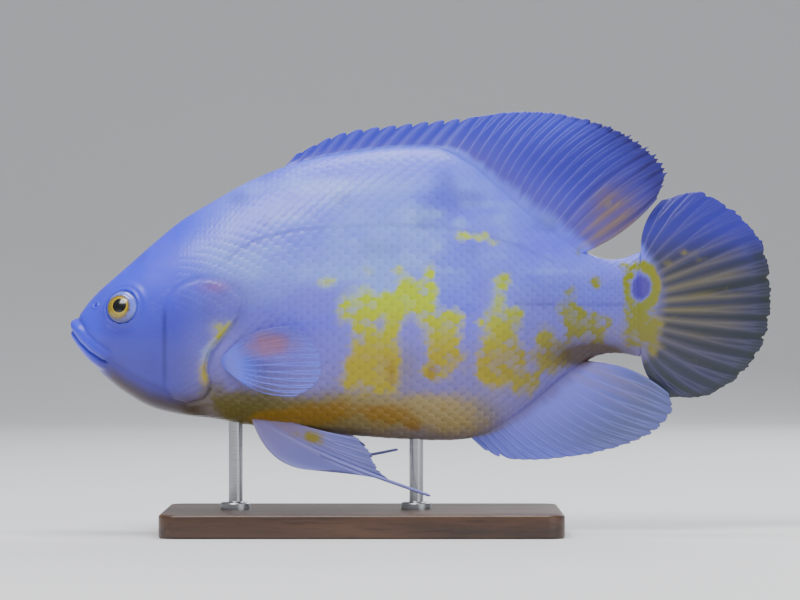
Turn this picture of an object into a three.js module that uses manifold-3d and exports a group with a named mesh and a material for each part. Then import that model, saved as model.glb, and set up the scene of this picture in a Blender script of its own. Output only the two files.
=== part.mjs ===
// A life-size display model of an oscar, a deep-bodied cichlid, swimming level above a plain stand.
// Millimetres, +Z up. The snout points along -X and the tail along +X, and the origin is on the
// surface that the stand rests on, under the middle of the fish's length.
import * as THREE from "three";
import { mergeVertices } from "three/addons/utils/BufferGeometryUtils.js";
import Module from "manifold-3d";

const wasm = await Module();
wasm.setup();

// Driving dimensions
const gap = 0.3; // between pieces that touch
const mouthGap = 0.4; // between the closed jaws
const rayShares = [0, 0.5]; // where the columns of one ray's strip of fin stand: on the ray, and halfway to the next
const bodyColumns = 44; // points round each body section
const ringsPerStation = (station) => (station < 9 ? 3 : 2);

// Body sections from the snout to the tail fin: the top point (x, z), the bottom point (x, z),
// the half width, and the height of the widest level as a share of the section's height.
const stations = [
  [-150.2, 87.0, -150.2, 87.0, 0.0, 0.5],
  [-149.2, 90.0, -149.5, 83.9, 4.6, 0.5],
  [-146.5, 93.6, -147.3, 80.4, 7.6, 0.49],
  [-142.5, 99.0, -144.0, 76.2, 10.1, 0.48],
  [-137.5, 104.3, -139.8, 70.8, 12.5, 0.47],
  [-131.1, 109.9, -134.0, 65.0, 14.9, 0.46],
  [-123.5, 116.6, -126.0, 59.0, 17.2, 0.46],
  [-114.0, 124.9, -116.0, 53.4, 19.5, 0.46],
  [-102.9, 133.9, -103.5, 50.2, 21.6, 0.47],
  [-89.0, 142.4, -89.0, 48.4, 23.4, 0.48],
  [-75.0, 150.2, -75.0, 45.9, 24.4, 0.49],
  [-60.0, 156.6, -60.0, 43.8, 24.8, 0.5],
  [-44.0, 160.9, -44.0, 42.2, 24.6, 0.5],
  [-26.0, 163.9, -26.0, 40.9, 23.6, 0.5],
  [-8.0, 165.6, -8.0, 39.6, 22.0, 0.5],
  [8.0, 165.0, 8.0, 39.1, 20.0, 0.51],
  [22.0, 158.5, 22.0, 40.2, 17.4, 0.52],
  [34.0, 148.4, 34.0, 45.4, 14.7, 0.52],
  [46.0, 138.0, 46.0, 53.5, 12.2, 0.52],
  [58.0, 129.3, 58.0, 63.6, 10.0, 0.52],
  [69.0, 121.6, 69.0, 71.8, 8.2, 0.51],
  [77.5, 117.9, 77.5, 75.8, 6.9, 0.5],
  [85.5, 117.6, 85.5, 76.3, 5.6, 0.5],
  [94.0, 120.6, 94.0, 74.9, 4.2, 0.5],
];
const backSharpness = 1.22; // over 1 draws the back in towards a ridge
const bellySharpness = 0.94;
const sharpnessStarts = { from: 5, to: 11 }; // stations between which the back grows its ridge

// Side-view lines of the head (x, z)
const mouthLine = [[-156.0, 95.2], [-150.6, 87.6], [-146.1, 81.3], [-141.9, 77.4], [-136.4, 73.8], [-132.6, 72.4]];
const jawLine = [[-127.5, 69.3], [-121.5, 65.0], [-117.0, 59.0], [-115.0, 51.0], [-114.5, 40.0]];
const headBackLine = [[-97.0, 150.0], [-91.0, 134.0], [-84.0, 118.0], [-80.0, 104.0],
  [-83.0, 90.0], [-88.0, 78.0], [-89.0, 66.0], [-86.0, 54.0], [-84.0, 36.0]];
const stemLine = [[72.6, 135.0], [74.2, 96.0], [72.6, 60.0]];
const gillOutline = [[-107.4, 99.6], [-99.0, 106.4], [-89.6, 107.9], [-80.5, 104.6], [-76.3, 98.6],
  [-78.2, 91.9], [-83.1, 85.9], [-88.5, 80.0], [-91.4, 74.2], [-91.6, 68.0], [-90.0, 62.2],
  [-93.0, 57.4], [-99.5, 55.6], [-105.4, 57.4], [-108.0, 62.5], [-108.6, 73.9], [-108.6, 90.1]];
const gillProud = 0.9; // the gill cover's height over the skin
const gillDepth = 2.2; // and its depth below the skin

// Lips: each is a soft ridge beside the mouth line, with a fold above the upper one
const lips = {
  upper: { offset: 2.5, width: 1.9, height: 1.1 },
  lower: { offset: -2.0, width: 1.5, height: 0.8 },
  fold: { offset: 5.6, width: 1.0, height: -0.5 },
};

const eye = { x: -127.5, z: 96.7, radius: 8.0, depth: 6.0, proud: 2.5, irisRadius: 5.2 };
const eyeRim = { radius: 7.3, tube: 0.9 };
const nostril = { x: -139.0, z: 97.6, radius: 0.8, rim: 0.5, depth: 2.2 };
const papilla = { x: 15.0, z: 38.5, radius: 1.7, length: 5.0, lean: 0.5 };

// Fins. Keys: ray number, base (x, z), tip (x, z), bow as a share of the ray's length.
const dorsal = {
  sideways: (u, along) => -3 * ramp(u, 16, 28) * along ** 2, rootShape: (u) => 0.35 + 0.65 * ramp(u, 9, 14),
  spines: 12, rays: 32, root: 2.3, ray: 0.75, membrane: 0.3, tip: 0.28, sink: 6, rows: [0, 0.16, 0.36, 0.6, 0.82, 1],
  keys: [
    [0, -57.9, 157.2, -53.4, 162.2, 0.0], [3, -40.7, 161.5, -33.8, 171.2, 0.02],
    [7, -15.0, 164.7, -5.2, 175.2, 0.03], [11, 10.7, 164.3, 21.9, 178.0, 0.04],
    [14, 22.7, 158.0, 39.9, 180.3, 0.05], [18, 34.7, 147.6, 60.4, 179.2, 0.07],
    [22, 45.4, 138.4, 81.0, 173.9, 0.08], [26, 56.6, 130.2, 98.1, 165.6, 0.07],
    [29, 65.1, 124.2, 106.3, 154.6, 0.03], [31, 71.6, 120.3, 101.6, 143.6, -0.06]],
};
const caudal = {
  sideways: (u, along) => 2.5 * along ** 2, rootShape: (u) => Math.sqrt(1 - ((u - 8) / 8.3) ** 2),
  spines: 0, rays: 17, root: 4.2, ray: 0.7, membrane: 0.28, tip: 0.28, sink: 0, rows: [0, 0.07, 0.16, 0.3, 0.5, 0.75, 1],
  keys: [
    [0, 94.3, 119.4, 103.3, 142.4, 0.12], [2, 94.3, 114.6, 119.6, 145.9, 0.06],
    [4, 94.3, 109.6, 135.4, 136.9, 0.03], [6, 94.3, 104.0, 146.6, 124.0, 0.01],
    [8, 94.3, 98.2, 150.0, 104.4, 0.0], [10, 94.3, 92.4, 148.9, 88.0, -0.01],
    [12, 94.3, 86.8, 141.0, 71.9, -0.03], [14, 94.3, 81.2, 124.7, 59.2, -0.06],
    [16, 94.3, 76.2, 106.6, 57.6, -0.12]],
};
const anal = {
  sideways: (u, along) => -6 * ramp(u, 6, 17) * along ** 2, rootShape: (u) => 0.35 + 0.65 * ramp(u, 2, 6),
  spines: 3, rays: 19, root: 2.2, ray: 0.75, membrane: 0.3, tip: 0.28, sink: 6, rows: [0, 0.16, 0.36, 0.6, 0.82, 1],
  keys: [
    [0, 21.0, 41.0, 27.2, 35.4, 0.0], [1, 23.8, 41.4, 32.6, 32.7, 0.0],
    [2, 27.0, 42.2, 38.6, 31.4, -0.02], [5, 34.7, 46.0, 54.4, 31.4, -0.05],
    [9, 45.9, 53.8, 77.6, 34.9, -0.08], [13, 56.6, 62.6, 97.3, 42.1, -0.07],
    [16, 65.2, 69.2, 107.1, 52.2, 0.0], [18, 71.8, 73.6, 105.9, 59.6, 0.09]],
};
const pelvic = {
  sideways: (u, along) => 7.4 + 6.5 * along, rootShape: () => 1,
  spines: 1, rays: 6, root: 1.4, ray: 0.7, membrane: 0.3, tip: 0.28, sink: 5, rows: [0, 0.12, 0.26, 0.42, 0.6, 0.8, 1],
  keys: [
    [0, -72.4, 49.0, -37.0, 28.4, -0.22], [1, -70.2, 49.0, -14.2, 23.0, -0.09],
    [2, -67.5, 49.0, -14.6, 25.4, -0.08], [3, -64.5, 49.0, -18.0, 31.0, -0.06],
    [4, -61.5, 49.0, -20.5, 36.2, -0.05], [5, -58.6, 49.0, -27.9, 41.4, -0.04]],
  filament: { tip: [4.3, 16.2], radius: 0.75, tipRadius: 0.3, sides: 6 },
};
// The far fin is held higher, so that its shorter filament shows behind the near one.
const pelvicFar = {
  ...pelvic,
  sideways: (u, along) => 7.4 + 9 * along,
  keys: [
    [0, -72.4, 49.0, -40.0, 33.0, -0.16], [1, -70.2, 49.0, -22.5, 31.6, -0.09],
    [2, -67.5, 49.0, -22.5, 34.0, -0.08], [3, -64.5, 49.0, -24.5, 37.4, -0.06],
    [4, -61.5, 49.0, -27.5, 40.0, -0.05], [5, -58.6, 49.0, -31.9, 42.6, -0.04]],
  filament: { tip: [-9.6, 35.0], radius: 0.7, tipRadius: 0.3, sides: 6 },
};
const pectoral = {
  sideways: (u, along) => 22.6 + 18 * along, rootShape: () => 1,
  spines: 0, rays: 13, root: 1.4, ray: 0.62, membrane: 0.28, tip: 0.28, sink: 6, rows: [0, 0.14, 0.34, 0.58, 0.8, 1],
  keys: [
    [0, -81.2, 78.6, -55.2, 88.6, 0.1], [3, -80.6, 75.8, -46.6, 83.2, 0.06],
    [6, -79.8, 73.0, -42.4, 76.2, 0.02], [8, -79.3, 70.6, -42.0, 69.4, -0.02],
    [10, -78.9, 68.4, -45.2, 63.6, -0.06], [12, -78.4, 66.4, -52.4, 59.4, -0.1]],
};

// Stand
const base = { length: 170, width: 104, height: 10, corner: 8, bevel: 1.2, centreX: -25 };
const rod = { radius: 3, collarRadius: 6.5, collarHeight: 3, sides: 24, frontX: -79.4, rearX: -2 };

// A smooth line through values at rising knots: cubic pieces whose slope at a knot is the chord
// between its neighbours. startSlope may replace the first slope.
function smooth(knots, values, startSlope) {
  const last = knots.length - 1;
  const slope = knots.map((_, i) => {
    const a = Math.max(i - 1, 0);
    const b = Math.min(i + 1, last);
    return (values[b] - values[a]) / (knots[b] - knots[a]);
  });
  if (startSlope !== undefined) slope[0] = startSlope;
  return (u) => {
    let i = 0;
    while (i < last - 1 && u > knots[i + 1]) i += 1;
    const h = knots[i + 1] - knots[i];
    const t = (u - knots[i]) / h;
    const c = 3 * t * t - 2 * t * t * t;
    return values[i] * (1 - c) + values[i + 1] * c
      + h * (slope[i] * t * (1 - t) * (1 - t) - slope[i + 1] * t * t * (1 - t));
  };
}

function ramp(value, from, to) {
  const t = Math.min(Math.max((value - from) / (to - from), 0), 1);
  return t * t * (3 - 2 * t);
}

function bump(distance, width) {
  return Math.exp(-((distance / width) ** 2));
}

// The nearest point of an open line: signed distance, positive on the line's left, and the share along it.
function beside(line, x, z) {
  let best = { distance: Infinity, share: 0 };
  for (let i = 0; i + 1 < line.length; i += 1) {
    const [ax, az] = line[i];
    const dx = line[i + 1][0] - ax;
    const dz = line[i + 1][1] - az;
    const t = Math.min(Math.max(((x - ax) * dx + (z - az) * dz) / (dx * dx + dz * dz), 0), 1);
    const px = x - ax - t * dx;
    const pz = z - az - t * dz;
    const distance = Math.hypot(px, pz);
    if (distance < Math.abs(best.distance)) {
      best = { distance: distance * Math.sign(dx * pz - dz * px || 1), share: (i + t) / (line.length - 1) };
    }
  }
  return best;
}

// The skin's relief over the plain sections: lips and the fold above them.
function relief(x, z) {
  if (x > -128) return 0;
  const { distance, share } = beside(mouthLine, x, z);
  const fade = 1 - ramp(share, 0.8, 1.0);
  return fade * Object.values(lips).reduce(
    (sum, lip) => sum + lip.height * bump(distance - lip.offset, lip.width), 0);
}

const stationNumbers = stations.map((_, i) => i);
const column = (k) => stations.map((s) => s[k]);
const bodyLines = {
  topX: smooth(stationNumbers, column(0), 0),
  topZ: smooth(stationNumbers, column(1), 3.0),
  bottomX: smooth(stationNumbers, column(2), 0),
  bottomZ: smooth(stationNumbers, column(3), -3.0),
  halfWidth: smooth(stationNumbers, column(4), 3.6),
  level: smooth(stationNumbers, column(5)),
};

// The body's plain surface at station number u and angle a round the section, from the back at 0.
function bodyPoint(u, a) {
  const up = Math.cos(a);
  const out = Math.sin(a);
  const level = bodyLines.level(u);
  const share = level + up * (up > 0 ? 1 - level : level);
  const ridge = ramp(u, sharpnessStarts.from, sharpnessStarts.to);
  const power = up > 0 ? 1 + (backSharpness - 1) * ridge : bellySharpness;
  const [topX, topZ] = [bodyLines.topX(u), bodyLines.topZ(u)];
  const [bottomX, bottomZ] = [bodyLines.bottomX(u), bodyLines.bottomZ(u)];
  return new THREE.Vector3(
    bottomX + (topX - bottomX) * share,
    bodyLines.halfWidth(u) * Math.sign(out) * Math.abs(out) ** power,
    bottomZ + (topZ - bottomZ) * share,
  );
}

function bodyNormal(u, a) {
  const step = 0.02;
  const alongU = bodyPoint(u + step, a).sub(bodyPoint(Math.max(u - step, 0), a));
  const alongA = bodyPoint(u, a + step).sub(bodyPoint(u, a - step));
  return alongU.cross(alongA).normalize();
}

// A closed mesh from a grid of points whose rows are rings; each end is closed to one point.
function closeRings(rings, startPoint, endPoint) {
  const columns = rings[0].length;
  const positions = [...rings.flat(), startPoint, endPoint].flatMap((p) => [p.x, p.y, p.z]);
  const first = rings.length * columns;
  const index = [];
  for (let c = 0; c < columns; c += 1) {
    const next = (c + 1) % columns;
    index.push(first, next, c);
    for (let r = 0; r + 1 < rings.length; r += 1) {
      const a = r * columns + c;
      const b = r * columns + next;
      index.push(a, b, a + columns, b, b + columns, a + columns);
    }
    const end = (rings.length - 1) * columns;
    index.push(end + c, end + next, first + 1);
  }
  const geometry = new THREE.BufferGeometry();
  geometry.setAttribute("position", new THREE.Float32BufferAttribute(positions, 3));
  geometry.setIndex(index);
  return geometry;
}

// A closed mesh as a solid, turned right side out.
function solidOf(geometry) {
  const bare = geometry.clone();
  bare.deleteAttribute("normal");
  bare.deleteAttribute("uv");
  const merged = mergeVertices(bare, 1e-4);
  const triVerts = new Uint32Array(merged.index.array);
  const make = () => new wasm.Manifold(new wasm.Mesh({
    numProp: 3, vertProperties: merged.attributes.position.array, triVerts,
  }));
  const made = make();
  if (made.volume() > 0) return made;
  for (let i = 0; i < triVerts.length; i += 3) {
    [triVerts[i + 1], triVerts[i + 2]] = [triVerts[i + 2], triVerts[i + 1]];
  }
  return make();
}

const largest = (solid) => solid.decompose().sort((a, b) => b.volume() - a.volume())[0];

// The whole body as one solid, its surface moved outwards by grow.
function bodySolid(grow) {
  const rings = [];
  const lastStation = stations.length - 1;
  for (let k = 0; k < lastStation; k += 1) {
    for (let i = 0; i < ringsPerStation(k); i += 1) {
      const u = k + i / ringsPerStation(k);
      if (u > 0) rings.push(u);
    }
  }
  rings.push(lastStation);
  const moved = (u, a) => {
    const point = bodyPoint(u, a);
    return point.addScaledVector(bodyNormal(u, a), relief(point.x, point.z) + grow);
  };
  const grid = rings.map((u) => Array.from({ length: bodyColumns },
    (_, c) => moved(u, (2 * Math.PI * c) / bodyColumns)));
  const snout = bodyPoint(0, 0).add(new THREE.Vector3(-grow - 0.6, 0, 0));
  const tail = new THREE.Vector3(0, 0, 0);
  grid.at(-1).forEach((p) => {
    p.x = stations.at(-1)[0] + grow;
    tail.add(p);
  });
  return solidOf(closeRings(grid, snout, tail.divideScalar(bodyColumns)));
}

// A side-view outline (x, z) made into a block that reaches from nearY to farY.
function prism(outline, nearY, farY) {
  const shape = new THREE.Shape(outline.map(([x, z]) => new THREE.Vector2(x, z)));
  const geometry = new THREE.ExtrudeGeometry(shape, { depth: farY - nearY, bevelEnabled: false });
  geometry.rotateX(Math.PI / 2);
  geometry.translate(0, farY, 0);
  return solidOf(geometry);
}

// An outline moved sideways by distance, to the left of its direction.
function offsetLine(line, distance, closed) {
  const last = line.length - 1;
  return line.map(([x, z], i) => {
    const before = line[closed ? (i + last) % (last + 1) : Math.max(i - 1, 0)];
    const after = line[closed ? (i + 1) % (last + 1) : Math.min(i + 1, last)];
    const dx = after[0] - before[0];
    const dz = after[1] - before[1];
    const length = Math.hypot(dx, dz);
    return [x - (dz / length) * distance, z + (dx / length) * distance];
  });
}

// A thin cut through the whole body along a side-view line.
function slit(line, width) {
  const halfDepth = 60;
  const left = offsetLine(line, width / 2, false);
  const right = offsetLine(line, -width / 2, false).reverse();
  return prism([...left, ...right], -halfDepth, halfDepth);
}

function smoothClosed(outline, count) {
  const curve = new THREE.CatmullRomCurve3(outline.map(([x, z]) => new THREE.Vector3(x, z, 0)), true);
  return curve.getSpacedPoints(count).slice(0, count).map((p) => [p.x, p.y]);
}

// A fin's middle surface: the point at ray number u, a share of the way along that ray.
function finShape(fin) {
  const knots = fin.keys.map((key) => key[0]);
  const [baseX, baseZ, tipX, tipZ, bow] = [1, 2, 3, 4, 5].map((k) => smooth(knots, fin.keys.map((key) => key[k])));
  return (u, along) => {
    const [dx, dz] = [tipX(u) - baseX(u), tipZ(u) - baseZ(u)];
    const lift = bow(u) * 4 * along * (1 - along);
    return new THREE.Vector3(
      baseX(u) + dx * along - dz * lift, fin.sideways(u, along), baseZ(u) + dz * along + dx * lift);
  };
}

// A fin as a thin closed plate: each ray is a ridge on both faces, with thinner membrane between.
function finSolid(fin) {
  const at = finShape(fin);
  const perRay = rayShares.length;
  const columns = perRay * (fin.rays - 1) + 1;
  const rows = fin.sink > 0 ? [-1, ...fin.rows.keys()] : [...fin.rows.keys()];
  const positions = [];
  for (const side of [1, -1]) {
    for (const row of rows) {
      for (let c = 0; c < columns; c += 1) {
        const ray = Math.floor(c / perRay);
        const u = ray + rayShares[c % perRay];
        const onRay = c % perRay === 0;
        const spiny = ray < fin.spines - 1;
        const reach = onRay ? 1 : (spiny ? 0.84 : 0.975);
        const s = fin.rows[Math.max(row, 0)];
        const p = at(u, s * reach);
        if (row < 0) p.addScaledVector(at(u, 0).sub(at(u, 0.1)).normalize(), fin.sink);
        const flesh = fin.root * fin.rootShape(u) * (1 - s) ** 3;
        const thin = onRay ? fin.tip + (fin.ray - fin.tip) * (1 - s) : fin.membrane;
        p.y += side * Math.max(flesh, thin);
        positions.push(p.x, p.y, p.z);
      }
    }
  }
  const sheet = rows.length * columns;
  const index = [];
  const quad = (a, b, c, d) => index.push(a, b, c, a, c, d);
  for (let r = 0; r + 1 < rows.length; r += 1) {
    for (let c = 0; c + 1 < columns; c += 1) {
      const a = r * columns + c;
      const [b, e, f] = [a + 1, a + columns + 1, a + columns];
      index.push(a, b, e, a, e, f);
      index.push(a + sheet, e + sheet, b + sheet, a + sheet, f + sheet, e + sheet);
    }
    const first = r * columns;
    const last = first + columns - 1;
    quad(first, first + columns, first + columns + sheet, first + sheet);
    quad(last + columns, last, last + sheet, last + columns + sheet);
  }
  const end = (rows.length - 1) * columns;
  for (let c = 0; c + 1 < columns; c += 1) {
    quad(c + 1, c, c + sheet, c + 1 + sheet);
    quad(end + c, end + c + 1, end + c + 1 + sheet, end + c + sheet);
  }
  const geometry = new THREE.BufferGeometry();
  geometry.setAttribute("position", new THREE.Float32BufferAttribute(positions, 3));
  geometry.setIndex(index);
  return solidOf(geometry);
}

// A tapered round thread through points, closed at both ends.
function threadSolid(points, thread) {
  const curve = new THREE.CatmullRomCurve3(points);
  const steps = 10;
  const sideways = new THREE.Vector3(0, 1, 0);
  const rings = [];
  for (let i = 0; i <= steps; i += 1) {
    const centre = curve.getPoint(i / steps);
    const across = curve.getTangent(i / steps).cross(sideways).normalize();
    const r = thread.radius + (thread.tipRadius - thread.radius) * (i / steps);
    rings.push(Array.from({ length: thread.sides }, (_, k) => {
      const a = (2 * Math.PI * k) / thread.sides;
      return centre.clone().addScaledVector(across, r * Math.cos(a)).addScaledVector(sideways, r * Math.sin(a));
    }));
  }
  return solidOf(closeRings(rings, curve.getPoint(0), curve.getPoint(1)));
}

// A pelvic fin with the thread that its first soft ray trails behind it.
function pelvicSolid(fin) {
  const at = finShape(fin);
  const onRay = [0.55, 0.8, 0.95].map((along) => at(1, along));
  const tip = new THREE.Vector3(fin.filament.tip[0], fin.sideways(1, 1.15), fin.filament.tip[1]);
  return finSolid(fin).add(threadSolid([...onRay, tip], fin.filament));
}

// Where the plain body meets a side-view point on its +Y side, and which way it faces there.
function skinAt(x, z) {
  let best = { miss: Infinity };
  for (let u = 0.5; u < stations.length - 1; u += 0.04) {
    for (let a = 0; a < Math.PI; a += Math.PI / 120) {
      const p = bodyPoint(u, a);
      const miss = Math.hypot(p.x - x, p.z - z);
      if (miss < best.miss) best = { miss, point: p, normal: bodyNormal(u, a) };
    }
  }
  return best;
}

// A shape made along +Y, turned to face outwards at a point of the skin and moved out by lift.
function onSkin(geometry, x, z, lift) {
  const { point, normal } = skinAt(x, z);
  geometry.applyQuaternion(new THREE.Quaternion().setFromUnitVectors(new THREE.Vector3(0, 1, 0), normal));
  const centre = point.addScaledVector(normal, lift);
  geometry.translate(centre.x, centre.y, centre.z);
  return solidOf(geometry);
}

const lathe = (profile, segments) => new THREE.LatheGeometry(profile.map(([r, y]) => new THREE.Vector2(r, y)), segments);
const ring = (radius, tube, sides) => new THREE.TorusGeometry(radius, tube, 6, sides).rotateX(Math.PI / 2);

// An eyeball, a flattened globe, with its surface moved outwards by grow.
function eyeSolid(grow) {
  const steps = 10;
  const profile = Array.from({ length: steps + 1 }, (_, i) => {
    const a = -Math.PI / 2 + (Math.PI * i) / steps;
    return [i % steps === 0 ? 0 : (eye.radius + grow) * Math.cos(a), (eye.depth + grow) * Math.sin(a)];
  });
  return onSkin(lathe(profile, 24), eye.x, eye.z, eye.proud - eye.depth);
}

const mirrored = (solid) => solid.mirror([0, 1, 0]);

// Body, parted by thin slits along the mouth and jaw, behind the head and before the tail stem
const whole = bodySolid(0);
const aroundBody = bodySolid(gap);
const parted = [slit([...mouthLine, ...jawLine], mouthGap), slit(headBackLine, gap), slit(stemLine, gap)]
  .reduce((solid, cut) => solid.subtract(cut), whole)
  .decompose()
  .sort((a, b) => b.volume() - a.volume());
const [torsoBlock, headBlock] = parted;
const front = (solid) => solid.boundingBox().min[0];
const [jawSolid, stemSolid] = parted.slice(2, 4).sort((a, b) => front(a) - front(b));

// Gill covers: plates that follow the skin, each in a slot with clear space round it
const gillLine = smoothClosed(gillOutline, 44);
const gillPlate = bodySolid(gillProud).subtract(bodySolid(-gillDepth)).intersect(prism(gillLine, 3, 60));
const gillSlot = bodySolid(gillProud + 1).subtract(bodySolid(-gillDepth - gap))
  .intersect(prism(offsetLine(gillLine, gap, true), 3 - gap, 61));
const gillSolid = largest(gillPlate);
const gillSlots = gillSlot.add(mirrored(gillSlot));

// Head: raised eye rims and nostril rims, then the sockets and pits
const rims = onSkin(ring(eyeRim.radius, eyeRim.tube, 24), eye.x, eye.z, -0.2)
  .add(onSkin(ring(nostril.radius + nostril.rim, nostril.rim, 10), nostril.x, nostril.z, 0));
const pit = onSkin(new THREE.CylinderGeometry(nostril.radius, nostril.radius * 0.6, nostril.depth * 2, 8),
  nostril.x, nostril.z, 0);
const sockets = eyeSolid(gap).add(pit);
const headSolid = largest(headBlock.add(rims).add(mirrored(rims))
  .subtract(sockets).subtract(mirrored(sockets)).subtract(gillSlots));

// Torso, with the small tube behind the vent
const papillaShape = new THREE.CapsuleGeometry(papilla.radius, papilla.length, 4, 12);
papillaShape.rotateX(Math.PI / 2);
papillaShape.rotateY(-papilla.lean);
papillaShape.translate(papilla.x, 0, papilla.z);
const torsoSolid = largest(torsoBlock.subtract(gillSlots).add(solidOf(papillaShape)));

// Stand: a flat base, and two rods with collars that end just short of the belly
function baseSolid() {
  const [l, w, r] = [base.length / 2 - base.bevel, base.width / 2 - base.bevel, base.corner];
  const shape = new THREE.Shape();
  const corners = [[l - r, -w + r, -0.5], [l - r, w - r, 0], [-l + r, w - r, 0.5], [-l + r, -w + r, 1]];
  corners.forEach(([x, y, turn]) => shape.absarc(x, y, r, turn * Math.PI, (turn + 0.5) * Math.PI, false));
  shape.closePath();
  const geometry = new THREE.ExtrudeGeometry(shape, {
    depth: base.height - 2 * base.bevel, bevelThickness: base.bevel, bevelSize: base.bevel,
    bevelSegments: 2, curveSegments: 5,
  });
  geometry.translate(base.centreX, 0, base.bevel);
  return solidOf(geometry);
}

function rodSolid(x) {
  const top = 60;
  const profile = [[0, 0], [rod.collarRadius, 0], [rod.collarRadius, rod.collarHeight - 0.8],
    [rod.collarRadius - 0.8, rod.collarHeight], [rod.radius, rod.collarHeight], [rod.radius, top], [0, top]];
  const geometry = lathe(profile, rod.sides).rotateX(Math.PI / 2);
  geometry.translate(x, 0, base.height + gap);
  return largest(solidOf(geometry).subtract(aroundBody));
}

const finOutside = (solid) => largest(solid.subtract(aroundBody));
const pectoralSolid = finOutside(finSolid(pectoral));

function meshOf(name, solid, material) {
  const { vertProperties, triVerts } = solid.simplify(0.05).getMesh();
  const geometry = new THREE.BufferGeometry();
  geometry.setAttribute("position", new THREE.BufferAttribute(Float32Array.from(vertProperties), 3));
  geometry.setIndex([...triVerts]);
  geometry.computeVertexNormals();
  const mesh = new THREE.Mesh(geometry, material);
  mesh.name = name;
  return mesh;
}

const material = (color, roughness, metalness) => new THREE.MeshStandardMaterial({ color, roughness, metalness });
const skin = material(0xaab4ea, 0.5, 0);
const finSkin = material(0x8d98d8, 0.5, 0);
const eyeball = material(0x9c8238, 0.2, 0);
const darkWood = material(0x3a2c22, 0.5, 0);
const steel = material(0xb9bcc0, 0.35, 1);

const group = new THREE.Group();
group.name = "oscar_fish";
group.add(
  meshOf("head", headSolid, skin),
  meshOf("lower_jaw", jawSolid, skin),
  meshOf("torso", torsoSolid, skin),
  meshOf("tail_stem", stemSolid, skin),
  meshOf("gill_cover_left", mirrored(gillSolid), skin),
  meshOf("gill_cover_right", gillSolid, skin),
  meshOf("eye_left", mirrored(eyeSolid(0)), eyeball),
  meshOf("eye_right", eyeSolid(0), eyeball),
  meshOf("dorsal_fin", finOutside(finSolid(dorsal)), finSkin),
  meshOf("anal_fin", finOutside(finSolid(anal)), finSkin),
  meshOf("tail_fin", finOutside(finSolid(caudal)), finSkin),
  meshOf("pectoral_fin_left", mirrored(pectoralSolid), finSkin),
  meshOf("pectoral_fin_right", pectoralSolid, finSkin),
  meshOf("pelvic_fin_left", mirrored(finOutside(pelvicSolid(pelvic))), finSkin),
  meshOf("pelvic_fin_right", finOutside(pelvicSolid(pelvicFar)), finSkin),
  meshOf("stand_base", baseSolid(), darkWood),
  meshOf("stand_rod_front", rodSolid(rod.frontX), steel),
  meshOf("stand_rod_rear", rodSolid(rod.rearX), steel),
);

export default group;
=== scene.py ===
# Still, life-size model of a pale oscar on a plain stand. Lengths in the tables are millimetres.
import math
import bmesh
import bpy
import numpy as np
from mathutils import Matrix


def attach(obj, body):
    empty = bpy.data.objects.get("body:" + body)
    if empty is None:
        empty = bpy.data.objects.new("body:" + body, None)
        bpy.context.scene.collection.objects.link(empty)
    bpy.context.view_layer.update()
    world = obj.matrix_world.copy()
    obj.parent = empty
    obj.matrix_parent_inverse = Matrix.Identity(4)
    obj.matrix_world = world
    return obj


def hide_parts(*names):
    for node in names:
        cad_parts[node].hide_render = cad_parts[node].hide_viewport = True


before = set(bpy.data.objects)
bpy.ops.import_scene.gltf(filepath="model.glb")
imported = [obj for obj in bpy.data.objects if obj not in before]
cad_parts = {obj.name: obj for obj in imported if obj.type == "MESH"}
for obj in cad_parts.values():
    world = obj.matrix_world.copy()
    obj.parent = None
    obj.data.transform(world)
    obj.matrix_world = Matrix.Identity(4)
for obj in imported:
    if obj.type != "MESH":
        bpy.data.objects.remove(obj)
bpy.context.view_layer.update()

mm = 0.001


# Camera, floor and light
view = dict(x=-9.0, z=99.6, away=1800, across=342.9, sensor=36)


def makeCamera():
    camera = bpy.data.cameras.new("camera")
    camera.sensor_width = view["sensor"]
    camera.lens = view["sensor"] * view["away"] / view["across"]
    camera.dof.use_dof = False
    holder = bpy.data.objects.new("camera", camera)
    holder.location = (view["x"] * mm, -view["away"] * mm, view["z"] * mm)
    holder.rotation_euler = (math.pi / 2, 0, 0)
    bpy.context.collection.objects.link(holder)
    bpy.context.scene.camera = holder


lightAim = (-0.01, 0, 0.1)
lights = dict(  # place, size, power and colour
    key=((-0.5, -0.9, 1.4), (0.9, 0.7), 25, (1.0, 0.98, 0.96)),
    fill=((1.1, -1.2, 0.5), (1.2, 1.0), 5, (0.95, 0.97, 1.0)),
    top=((0.1, 0.1, 1.5), (1.0, 0.7), 20, (1.0, 1.0, 1.0)),
    behind=((0.6, 1.2, 0.9), (1.0, 0.8), 12, (0.96, 0.98, 1.0)))
surroundings = dict(colour=(0.86, 0.88, 0.92, 1), strength=0.3)


def addLight(name, place, size, power, colour):
    lamp = bpy.data.lights.new(name, "AREA")
    lamp.shape = "RECTANGLE"
    lamp.size, lamp.size_y = size
    lamp.energy = power
    lamp.color = colour
    holder = bpy.data.objects.new(name, lamp)
    holder.location = place
    aim = np.array(place) - np.array(lightAim)
    flat = math.hypot(aim[0], aim[1])
    holder.rotation_euler = (math.atan2(flat, aim[2]), 0, math.atan2(aim[1], aim[0]) + math.pi / 2)
    bpy.context.collection.objects.link(holder)


makeCamera()


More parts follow.
